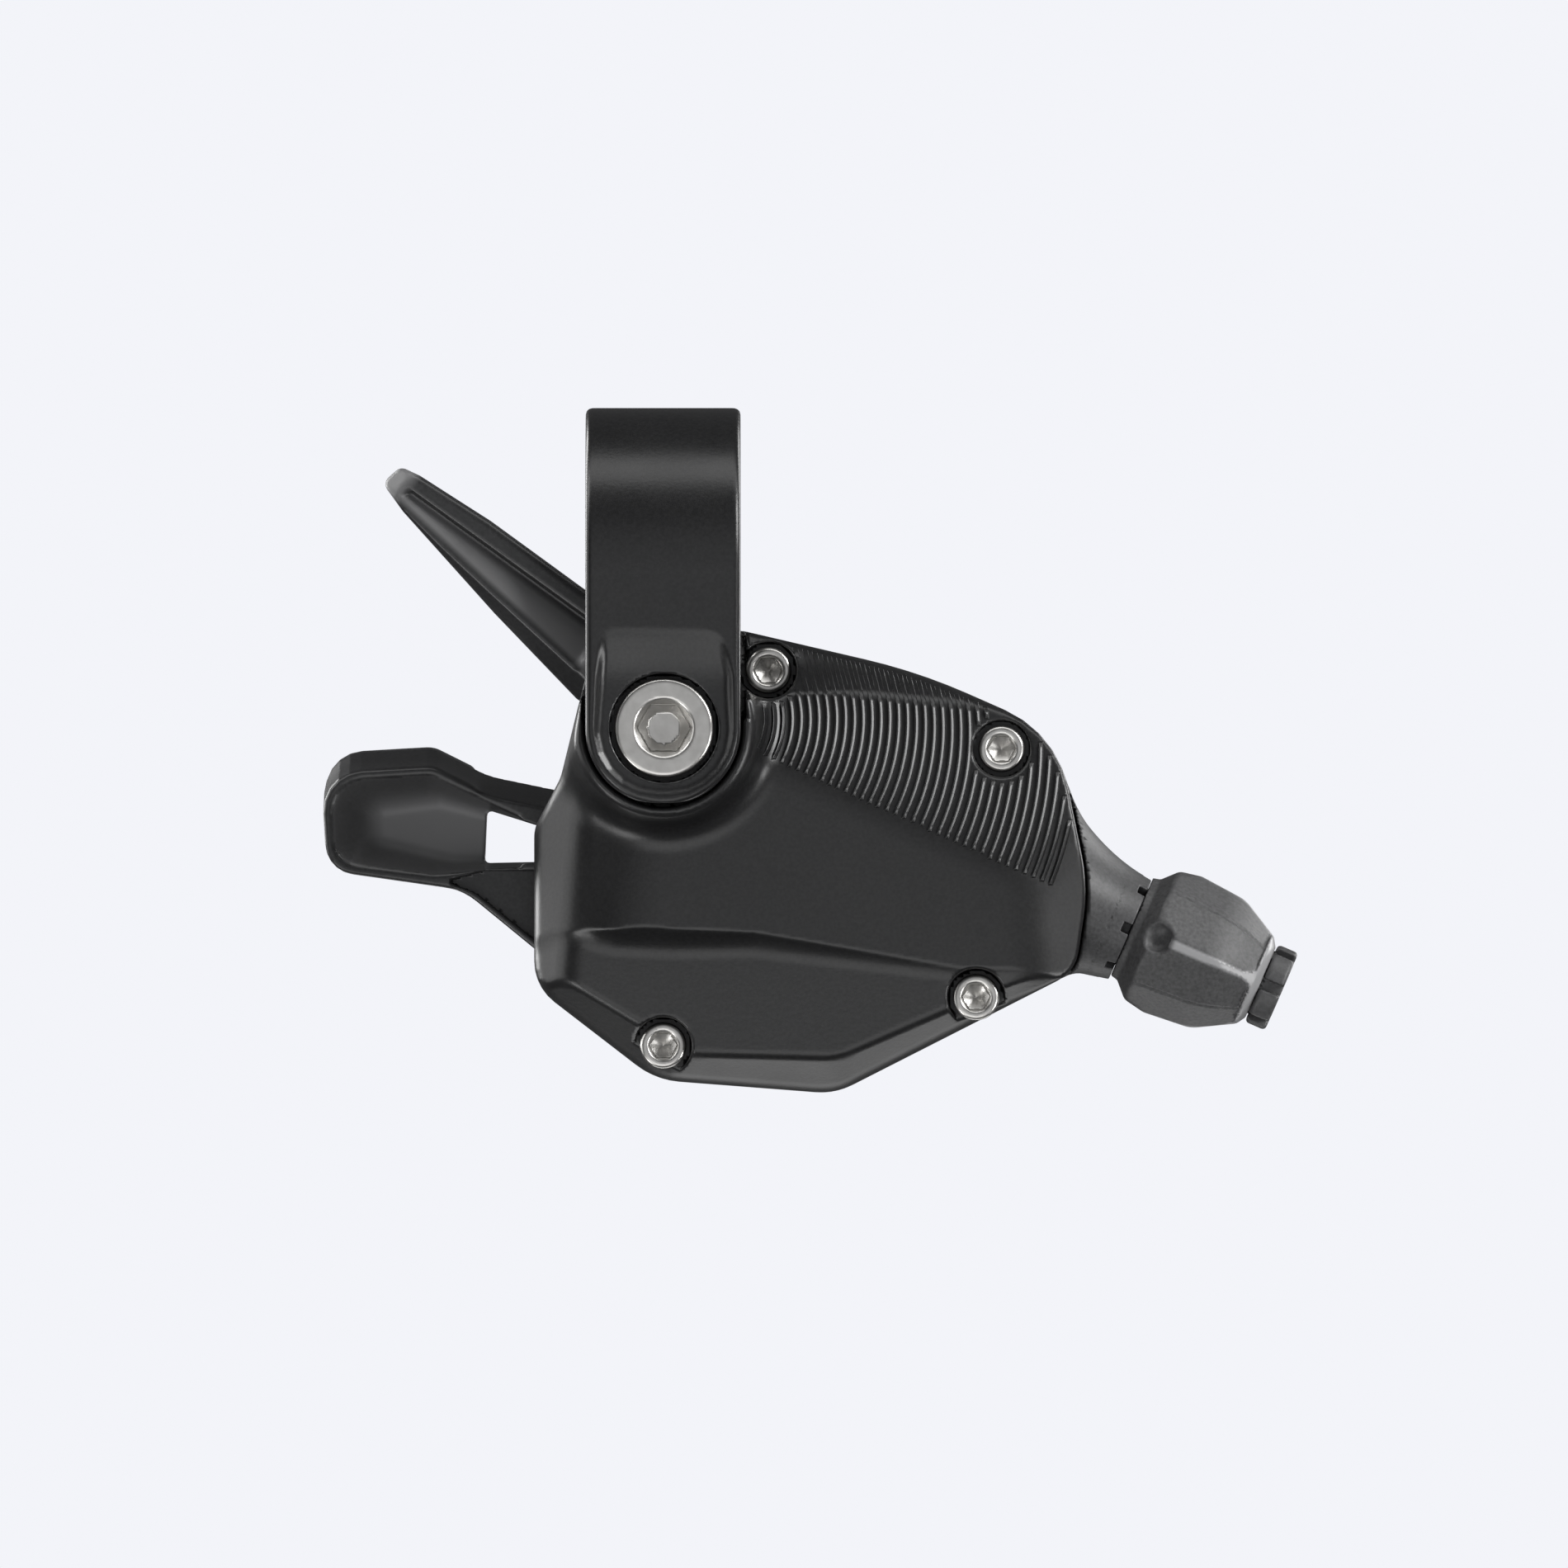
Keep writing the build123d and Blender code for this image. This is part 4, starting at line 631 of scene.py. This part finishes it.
dress(solid("clamp_ring", clamp_field, low=(-7.2, -14.0, -21.5), high=(7.2, 14.0, 14.0), cell=0.28),
      "housing", "clamp", "clamp_band")


def hexagon(x, z, centre, across):
    """Signed distance to a hexagon with two corners level."""
    u, w = np.abs(x - centre[0]), np.abs(z - centre[1])
    return np.maximum(w, 0.866 * u + 0.5 * w) - across / 2


def bolt_field(x, y, z):
    """Socket cap screw with a rounded head edge and a countersunk hexagon socket."""
    head = smax(disc(x, z, BOLT, HEAD_R), np.maximum(HEAD_FRONT_Y - y, y - HEAD_BACK_Y), 0.5)
    shank = np.maximum(disc(x, z, BOLT, SHANK_R), np.maximum(SHANK_FRONT_Y - y, y - SHANK_BACK_Y))
    floor = (y - SOCKET_FLOOR_Y + np.clip(disc(x, z, BOLT, SOCKET_FLOOR_R), 0, 2)) * SOCKET_SCALE
    socket = np.maximum(hexagon(x, z, BOLT, SOCKET_ACROSS), floor)
    sink = (disc(x, z, BOLT, SINK_R) + SINK_SLOPE * (y - HEAD_FRONT_Y)) * SINK_SCALE
    bolt = smax(np.minimum(head, shank), -socket, 0.12)
    return smax(bolt, -np.maximum(sink, y - SINK_Y), 0.15)


dress(solid("clamp_bolt_turned", bolt_field, low=(-4.7, -12.6, -19.0), high=(4.7, 11.7, -9.6), cell=0.2),
      "housing", "stainless", "clamp_bolt")


def screw_field(centre, front):
    """Field of a small socket-head screw with its head's face at a depth."""

    def field(x, y, z):
        head = smax(disc(x, z, centre, SCREW_HEAD_R), np.maximum(front - y, y - front - SCREW_HEAD_H), 0.45)
        shank = np.maximum(disc(x, z, centre, SCREW_R), np.maximum(front + SCREW_NECK - y, y - SCREW_END_Y))
        cone = np.hypot(x - centre[0], z - centre[1]) * SCREW_FLOOR_SLOPE
        floor = (y - front - SCREW_SOCKET_DEPTH + cone) * SCREW_FLOOR_SCALE
        socket = np.maximum(hexagon(x, z, centre, SCREW_SOCKET_ACROSS), floor)
        sink = (disc(x, z, centre, SCREW_SINK_R) + SINK_SLOPE * (y - front)) * SINK_SCALE
        screw = smax(np.minimum(head, shank), -socket, 0.1)
        return smax(screw, -np.maximum(sink, y - front - SCREW_SINK_DEPTH), 0.12)

    return field


for number, (sx, sz, front) in enumerate(SCREWS, 1):
    screw = solid(f"cover_screw_turned_{number}", screw_field((sx, sz), front),
                  low=(sx - SCREW_BOX, front - SCREW_BOX_FRONT, sz - SCREW_BOX),
                  high=(sx + SCREW_BOX, SCREW_BOX_BACK_Y, sz + SCREW_BOX), cell=0.15)
    dress(screw, "housing", "stainless", "cover_screws")


# Thumb lever: a dished paddle on a strut and a web, with a window between them
LEVER_FACE = outline(rounded([
    (-29.7, -18.3, 3.4), (-20.1, -17.75, 2.5), (-15.3, -20.2, 8.0), (-8.5, -21.6, 0.2), (6.0, -21.2, 0.5),
    (4.0, -34.9, 0.5), (-11.0, -33.7, 0.5), (-17.6, -28.3, 6.0), (-29.2, -26.6, 2.6)], 5))
PADDLE = outline(rounded([
    (-29.7, -18.3, 3.4), (-20.1, -17.75, 2.5), (-16.4, -19.6, 1.0), (-15.9, -26.9, 1.0), (-18.6, -28.0, 1.0),
    (-29.2, -26.6, 2.6)], 5))
DISH_RIM = outline(rounded([
    (-29.0, -18.9, 2.9), (-20.2, -18.4, 2.0), (-12.5, -22.1, 0.4), (-12.5, -26.4, 0.4), (-20.0, -27.0, 1.5),
    (-28.6, -26.0, 2.2)], 5))
DISH_FLOOR = outline(rounded([
    (-25.3, -21.4, 0.9), (-19.6, -20.6, 0.9), (-12.0, -22.4, 0.4), (-12.0, -25.9, 0.4), (-18.5, -25.9, 1.0),
    (-25.1, -24.2, 0.9)], 5))
WEB_POCKET = outline(rounded([
    (-15.6, -26.7, 0.3), (-6.0, -26.7, 0.3), (-6.0, -35.6, 0.3), (-11.6, -32.4, 0.3), (-16.4, -28.6, 3.0),
    (-19.0, -27.6, 0.2)], 4))
WINDOW = outline(rounded([
    (-15.4, -21.4, 0.35), (-10.6, -22.9, 0.3), (-10.6, -25.9, 0.3), (-15.6, -26.0, 0.35)], 4))
LEVER_Y, PADDLE_BACK_Y, STRUT_BACK_Y = 19.9, 31.0, 24.4
PLATE_Y, PLATE_HALF, HUB_R = 20.9, 1.0, 7.2
PADDLE_LEAN, STRUT_LEAN, STRUT_END_X = 0.175, 0.42, -8.5
DISH_DEPTH, DISH_SCALE, POCKET_DEPTH = 3.2, 0.85, 1.1
AXLE_R, AXLE_CLEAR, BUSH_WALL, BUSH_CLEAR = 2.5, 0.06, 0.9, 0.03
AXLE_BORE = AXLE_R + AXLE_CLEAR + BUSH_WALL + BUSH_CLEAR
DRIVE_PAWL, DRIVE_PAWL_PIN_R = around(AXLE, 13.0, 190.0), 0.95
# Painted highlight in the thumb lever's dish: depth where it starts, its run in depth and where it ends, its
# right end and its least amount
HIGHLIGHT_START, HIGHLIGHT_RUN, HIGHLIGHT_END, HIGHLIGHT_RIGHT_X, HIGHLIGHT_LEAST = 0.3, 2.7, 3.6, -15.2, 0.25


def thumb_field(x, y, z):
    """Thumb lever: its paddle and strut lean up toward the back, and the paddle is dished at the front."""
    deep = y - LEVER_Y
    paddle = smax(PADDLE(x, z - PADDLE_LEAN * deep), np.maximum(-deep, y - PADDLE_BACK_Y), 0.6)
    plate = np.minimum(LEVER_FACE(x, z), disc(x, z, AXLE, HUB_R))
    plate = smax(plate, np.abs(y - PLATE_Y) - PLATE_HALF, 0.4)
    strut = np.maximum(LEVER_FACE(x, z - STRUT_LEAN * deep), x - STRUT_END_X)
    strut = smax(strut, np.maximum(-deep, y - STRUT_BACK_Y), 0.5)
    lever = smin(smin(paddle, strut, 0.6), plate, 0.2)
    t = np.clip(deep / DISH_DEPTH, -0.2, 1.2)
    dish = smax(DISH_RIM(x, z) * (1 - t) + DISH_FLOOR(x, z) * t, y - LEVER_Y - DISH_DEPTH, 0.9)
    lever = smax(lever, -dish * DISH_SCALE, 0.45)
    lever = smax(lever, -np.maximum(WEB_POCKET(x, z), y - LEVER_Y - POCKET_DEPTH), 0.3)
    lever = smax(lever, -WINDOW(x, z), 0.25)
    lever = np.maximum(lever, -disc(x, z, AXLE, AXLE_BORE))
    return np.maximum(lever, -disc(x, z, DRIVE_PAWL, DRIVE_PAWL_PIN_R))


def thumb_painted_highlight(x, y, z):
    """Painted highlight in the dish, stronger toward its floor."""
    deep = np.clip((y - LEVER_Y - HIGHLIGHT_START) / HIGHLIGHT_RUN, 0, 1)
    pressed = (DISH_RIM(x, z) < 0) & (x < HIGHLIGHT_RIGHT_X) & (y < LEVER_Y + HIGHLIGHT_END)
    return np.where(pressed, HIGHLIGHT_LEAST + (1 - HIGHLIGHT_LEAST) * deep ** 3, 0.0)


thumb = solid("thumb_paddle", thumb_field, low=(-30.2, 19.3, -36.0), high=(14.0, 31.5, -14.6), cell=0.24)
dress(thumb, "thumb_lever", "levers", "thumb_lever")
# Painted highlight in the thumb lever's dish, stored on its points
mark_points(thumb, "painted_highlight", thumb_painted_highlight)

# Release lever: a blade with a lip along its top and a scoop along its middle
BLADE = outline(rounded([(-24.5, 7.0, 0.8), (-22.9, 8.4, 0.8), (-21.2, 7.6, 1.0), (-15.1, 3.7, 3.0),
                         (-9.6, -0.3, 3.0), (-7.0, -2.2, 0.5), (5.7, -9.9, 0.5), (3.0, -14.5, 0.5),
                         (-7.5, -11.9, 1.0), (-14.8, -4.3, 5.0), (-22.7, 4.5, 1.0)]))
BLADE_TIP = (-23.4, 6.6)
BLADE_X, BLADE_Z = 0.793, -0.609
BLADE_Y, BLADE_BACK_Y = 14.3, 19.5
EYE_R, EYE_ROOM_R, EYE_Y, EYE_BORE_R = 2.7, 3.8, 15.9, 1.36
TIP_LENGTH, TIP_SLOPE, TIP_SCALE = 0.5, 0.9, 0.74
CREST_Q, CREST_FALL = -0.95, 0.09
UNDER_SLOPE, UNDER_SCALE = 1.3, 0.6
SCOOP_SLOPE, SCOOP_SCALE, SCOOP_START, SCOOP_END = 0.5, 0.89, 0.9, 22.0
LIP_Q, LIP_RISE = 0.55, 0.03
# Depth behind which the release lever gets no painted highlight
HIGHLIGHT_BACK_Y = 17.5


def blade_axes(x, z):
    """Distance along the blade from its tip, and height across it."""
    p = (x - BLADE_TIP[0]) * BLADE_X + (z - BLADE_TIP[1]) * BLADE_Z
    return p, (z - BLADE_TIP[1]) * BLADE_X - (x - BLADE_TIP[0]) * BLADE_Z


def release_field(x, y, z):
    """Release lever, with its front cut back below a crest and scooped above it."""
    p, q = blade_axes(x, z)
    blade = np.minimum(BLADE(x, z), disc(x, z, RELEASE, EYE_R))
    lever = smax(blade, np.maximum(BLADE_Y - y, y - BLADE_BACK_Y), 0.9)
    lever = smax(lever, (BLADE_Y + TIP_SLOPE * (TIP_LENGTH - p) - y) * TIP_SCALE, 0.4)
    crest_q = CREST_Q - CREST_FALL * p
    lever = smax(lever, (BLADE_Y + UNDER_SLOPE * (crest_q - q) - y) * UNDER_SCALE, 0.4)
    scoop = smax((y - BLADE_Y - SCOOP_SLOPE * (q - crest_q)) * SCOOP_SCALE, q - LIP_Q - LIP_RISE * p, 0.6)
    scoop = smax(scoop, np.maximum(SCOOP_START - p, p - SCOOP_END), 0.6)
    lever = smax(lever, -scoop, 0.5)
    lever = smax(lever, -np.maximum(disc(x, z, RELEASE, EYE_ROOM_R), y - EYE_Y), 0.2)
    return np.maximum(lever, -disc(x, z, RELEASE, EYE_BORE_R))


def release_painted_highlight(x, y, z):
    """Painted highlight on the scoop and the tip."""
    p, q = blade_axes(x, z)
    scoop = np.clip((q + 0.75 + 0.09 * p) / 0.5, 0, 1) * np.clip((0.35 + 0.02 * p - q) / 0.6, 0, 1)
    return np.where(y < HIGHLIGHT_BACK_Y, np.maximum(scoop, np.clip(1.4 - p, 0, 1)), 0.0)


blade = solid("release_blade", release_field, low=(-25.2, 13.8, -15.6), high=(7.4, 20.0, 9.0), cell=0.2)
dress(blade, "release_lever", "levers", "release_lever")
# Painted highlight on the release lever's scoop and tip, stored on its points
mark_points(blade, "painted_highlight", release_painted_highlight)

# Adjuster knob: four panels of two facets each, between a flared neck and a rounded cone. Profile points are
# distance along the cable line, radius and rounding
KNOB_PROFILE = outline(rounded([(-1.5, -1.0, 0.0), (-1.5, 3.6, 0.0), (0.05, 3.6, 0.0), (0.05, 4.6, 0.05),
                                (0.7, 4.75, 0.5), (1.95, 6.05, 1.0), (3.9, 6.42, 1.5), (8.2, 6.05, 3.0),
                                (11.7, 4.1, 0.8), (12.2, 3.3, 0.2), (12.2, -1.0, 0.0)], 5))
KNOB_WIDEST, KNOB_TAPER = (3.9, 6.42), 0.086
KNOB_SHOULDER, CONE_TAPER = (8.2, 6.05), 0.557
QUARTER = math.pi / 2
PANEL_S, PANEL_HALF, PANEL_HALF_WIDE, PANEL_ROUND, PANEL_R = 6.0, 4.2, 3.3, 1.2, 6.2
FACET_TURN, FACET_SHARE = math.radians(15.5), 0.905
GROOVE_DEPTH, GROOVE_HALF = 0.15, 0.04
DIMPLE_S, DIMPLE_OUT, DIMPLE_R = 2.4, 6.3, 1.3
KNOB_BORE_R = 2.96
# Glossier ridges and end of the knob, painted paler as a highlight: where they start along the cable line and
# how wide their edge fades
GLOSS_HIGHLIGHT_FROM_S, GLOSS_HIGHLIGHT_EDGE = 3.6, 0.2


def knob_panel(s, across):
    """Signed distance to the rounded outline of a panel, laid flat."""
    along, wide = np.abs(s - PANEL_S) - PANEL_HALF, np.abs(across) * PANEL_R - PANEL_HALF_WIDE
    outside = np.hypot(np.maximum(along, 0), np.maximum(wide, 0))
    return outside + np.minimum(np.maximum(along, wide), 0) - PANEL_ROUND


def knob_field(x, y, z):
    """Adjuster knob, with a ridge between panels facing the front."""
    s, u, v = cable_axes(x, y, z)
    r, turn = np.hypot(u, v), np.arctan2(v, -u)
    across = turn % QUARTER - QUARTER / 2
    body_r = KNOB_WIDEST[1] - KNOB_TAPER * (s - KNOB_WIDEST[0])
    radius = smin(body_r, KNOB_SHOULDER[1] - CONE_TAPER * (s - KNOB_SHOULDER[0]), 0.8)
    facet = r * np.cos(np.abs(across) - FACET_TURN) - FACET_SHARE * radius
    facet = facet + GROOVE_DEPTH * np.clip(1.0 - np.abs(across) / GROOVE_HALF, 0.0, 1.0)
    knob = smax(KNOB_PROFILE(s, r), np.minimum(facet, -knob_panel(s, across)), 0.2)
    ridge = (turn + QUARTER) % math.pi - QUARTER
    dimple = np.sqrt((s - DIMPLE_S) ** 2 + (r - DIMPLE_OUT) ** 2 + (r * ridge) ** 2) - DIMPLE_R
    knob = smax(knob, -dimple, 0.4)
    return np.maximum(knob, KNOB_BORE_R - r)


def knob_gloss_and_highlight(x, y, z):
    """Where the knob is glossier and painted paler as a highlight: its ridges and its end."""
    s, u, v = cable_axes(x, y, z)
    panel = knob_panel(s, np.arctan2(v, -u) % QUARTER - QUARTER / 2)
    return np.where(s < GLOSS_HIGHLIGHT_FROM_S, 0.0, np.clip(panel / GLOSS_HIGHLIGHT_EDGE + 0.5, 0, 1))


knob = solid("knob_grip", knob_field, low=(36.0, 7.0, -44.5), high=(55.5, 21.0, -23.5), cell=0.19)
dress(knob, "adjuster_knob", "knob", "adjuster_knob")
# Painted highlight, with more gloss, on the knob's ridges and end, stored on its points
mark_points(knob, "gloss_and_highlight", knob_gloss_and_highlight)

# Adjuster barrel: middles and half lengths of its tube and collar along the cable line
BARREL_R, BARREL_BORE_R, TUBE_S, TUBE_HALF = 2.9, 2.15, 4.9, 7.9
END_COLLAR_R, END_COLLAR_S, END_COLLAR_HALF = 3.65, 13.25, 0.95
SLOT_STEP, SLOT_HALF, SLOT_START_S = math.pi / 3, 0.5, 12.35


def barrel_field(x, y, z):
    """Adjuster barrel: a tube with a slotted end collar."""
    s, u, v = cable_axes(x, y, z)
    r, turn = np.hypot(u, v), np.arctan2(v, u)
    tube = np.maximum(r - BARREL_R, np.abs(s - TUBE_S) - TUBE_HALF)
    collar = smax(r - END_COLLAR_R, np.abs(s - END_COLLAR_S) - END_COLLAR_HALF, 0.4)
    across = r * np.sin((turn + SLOT_STEP / 2) % SLOT_STEP - SLOT_STEP / 2)
    slots = np.maximum(np.abs(across) - SLOT_HALF, np.maximum(BARREL_R - r, SLOT_START_S - s))
    barrel = smax(np.minimum(tube, collar), -slots, 0.15)
    return smax(barrel, BARREL_BORE_R - r, 0.3)


dress(solid("barrel_turned", barrel_field, low=(36.0, 9.8, -41.5), high=(55.5, 18.2, -26.0), cell=0.2),
      "adjuster_barrel", "barrel", "adjuster_barrel")

# Pale surround for the camera. For other rays it is a dim studio, brighter in front of the object
world = bpy.data.worlds.new("surround")
scene.world = world
world.use_nodes = True
tree = world.node_tree
tree.nodes.clear()
out = tree.nodes.new("ShaderNodeOutputWorld")
pale = tree.nodes.new("ShaderNodeBackground")
pale.inputs["Color"].default_value = (0.896, 0.905, 0.947, 1)
studio = tree.nodes.new("ShaderNodeBackground")
studio.inputs["Color"].default_value = (0.97, 0.98, 1.0, 1)
direction = tree.nodes.new("ShaderNodeTexCoord")
parts = tree.nodes.new("ShaderNodeSeparateXYZ")
level = tree.nodes.new("ShaderNodeMapRange")
level.inputs["From Min"].default_value = -1.0
level.inputs["From Max"].default_value = -0.8
level.inputs["To Min"].default_value = 0.6
level.inputs["To Max"].default_value = 0.08
ray = tree.nodes.new("ShaderNodeLightPath")
pick = tree.nodes.new("ShaderNodeMixShader")
tree.links.new(direction.outputs["Generated"], parts.inputs["Vector"])
tree.links.new(parts.outputs["Y"], level.inputs["Value"])
tree.links.new(level.outputs["Result"], studio.inputs["Strength"])
tree.links.new(ray.outputs["Is Camera Ray"], pick.inputs["Fac"])
tree.links.new(studio.outputs["Background"], pick.inputs[1])
tree.links.new(pale.outputs["Background"], pick.inputs[2])
tree.links.new(pick.outputs["Shader"], out.inputs["Surface"])

# Soft lights around the object, in metres and watts: name, place, width and height, power
LIGHT_TARGET = (0.01, 0.01, -0.02)
SOFTBOXES = [
    ("top", (0.0, -0.25, 0.82), (1.7, 0.36), 4.2),
    ("key", (0.75, -0.32, 0.36), (0.35, 0.4), 6.0),
    ("front_low", (-0.1, -0.75, -0.50), (0.7, 0.5), 1.6),
    ("left", (-0.85, 0.0, 0.05), (0.7, 0.8), 3.0),
    ("left_top", (-0.7, -0.1, 0.55), (0.3, 0.3), 1.6),
    ("left_low", (-0.5, -0.35, -0.6), (0.25, 0.25), 1.2),
    ("left_back", (-0.65, 0.6, 0.25), (0.35, 0.7), 6.0),
    ("right", (0.72, -0.48, -0.30), (0.3, 0.3), 2.3),
    ("right_back", (0.65, 0.6, 0.2), (0.35, 0.7), 4.0),
    ("under", (0.05, 0.4, -0.7), (0.8, 0.3), 1.5),
]


def softbox(name, place, size, power):
    """Rectangular area light aimed at the object."""
    light = bpy.data.lights.new(name, "AREA")
    light.shape = "RECTANGLE"
    light.size, light.size_y = size
    light.energy = power
    lamp = bpy.data.objects.new(name, light)
    scene.collection.objects.link(lamp)
    lamp.location = place
    lamp.rotation_mode = "QUATERNION"
    lamp.rotation_quaternion = (Vector(LIGHT_TARGET) - Vector(place)).to_track_quat("-Z", "Y")
    lamp.visible_camera = False


for name, place, size, power in SOFTBOXES:
    softbox(name, place, size, power)

# Pale floor well below the object, open to views from underneath. Only the camera sees it
FLOOR_Z, FLOOR_R, FLOOR_SIDES = -0.13, 2.3, 96
turns = np.linspace(0, 2 * math.pi, FLOOR_SIDES, False)
floor_rim = [(FLOOR_R * math.cos(a), FLOOR_R * math.sin(a), FLOOR_Z) for a in turns]
floor_mesh = bpy.data.meshes.new("floor")
floor_mesh.from_pydata(floor_rim, [], [list(range(FLOOR_SIDES))])
floor = bpy.data.objects.new("floor", floor_mesh)
scene.collection.objects.link(floor)
mat, tree, bsdf = shader("floor_paper")
grain = tree.nodes.new("ShaderNodeTexNoise")
grain.inputs["Scale"].default_value = 40.0
paper = tree.nodes.new("ShaderNodeValToRGB")
paper.color_ramp.elements[0].color = (0.60, 0.61, 0.64, 1)
paper.color_ramp.elements[1].color = (0.64, 0.65, 0.68, 1)
side = tree.nodes.new("ShaderNodeNewGeometry")
clear = tree.nodes.new("ShaderNodeBsdfTransparent")
blend = tree.nodes.new("ShaderNodeMixShader")
tree.links.new(grain.outputs["Fac"], paper.inputs["Fac"])
tree.links.new(paper.outputs["Color"], bsdf.inputs["Base Color"])
bsdf.inputs["Roughness"].default_value = 0.9
tree.links.new(side.outputs["Backfacing"], blend.inputs["Fac"])
tree.links.new(bsdf.outputs["BSDF"], blend.inputs[1])
tree.links.new(clear.outputs["BSDF"], blend.inputs[2])
tree.links.new(blend.outputs["Shader"], tree.nodes["Material Output"].inputs["Surface"])
floor_mesh.materials.append(mat)
floor.visible_diffuse = False
floor.visible_glossy = False
floor.visible_shadow = False

# Camera straight in front of the cover, with a sensor width in millimetres
SENSOR_WIDTH = 36.0
camera_data = bpy.data.cameras.new("photo_camera")
camera_data.sensor_width = SENSOR_WIDTH
camera_data.lens = SENSOR_WIDTH * VIEW_DISTANCE / VIEW_WIDTH
camera_data.clip_start = 0.05
camera_data.clip_end = 20.0
camera = bpy.data.objects.new("photo_camera", camera_data)
scene.collection.objects.link(camera)
camera.location = (VIEW_X, -VIEW_DISTANCE, VIEW_Z)
camera.rotation_euler = (math.radians(90), 0, 0)
scene.camera = camera
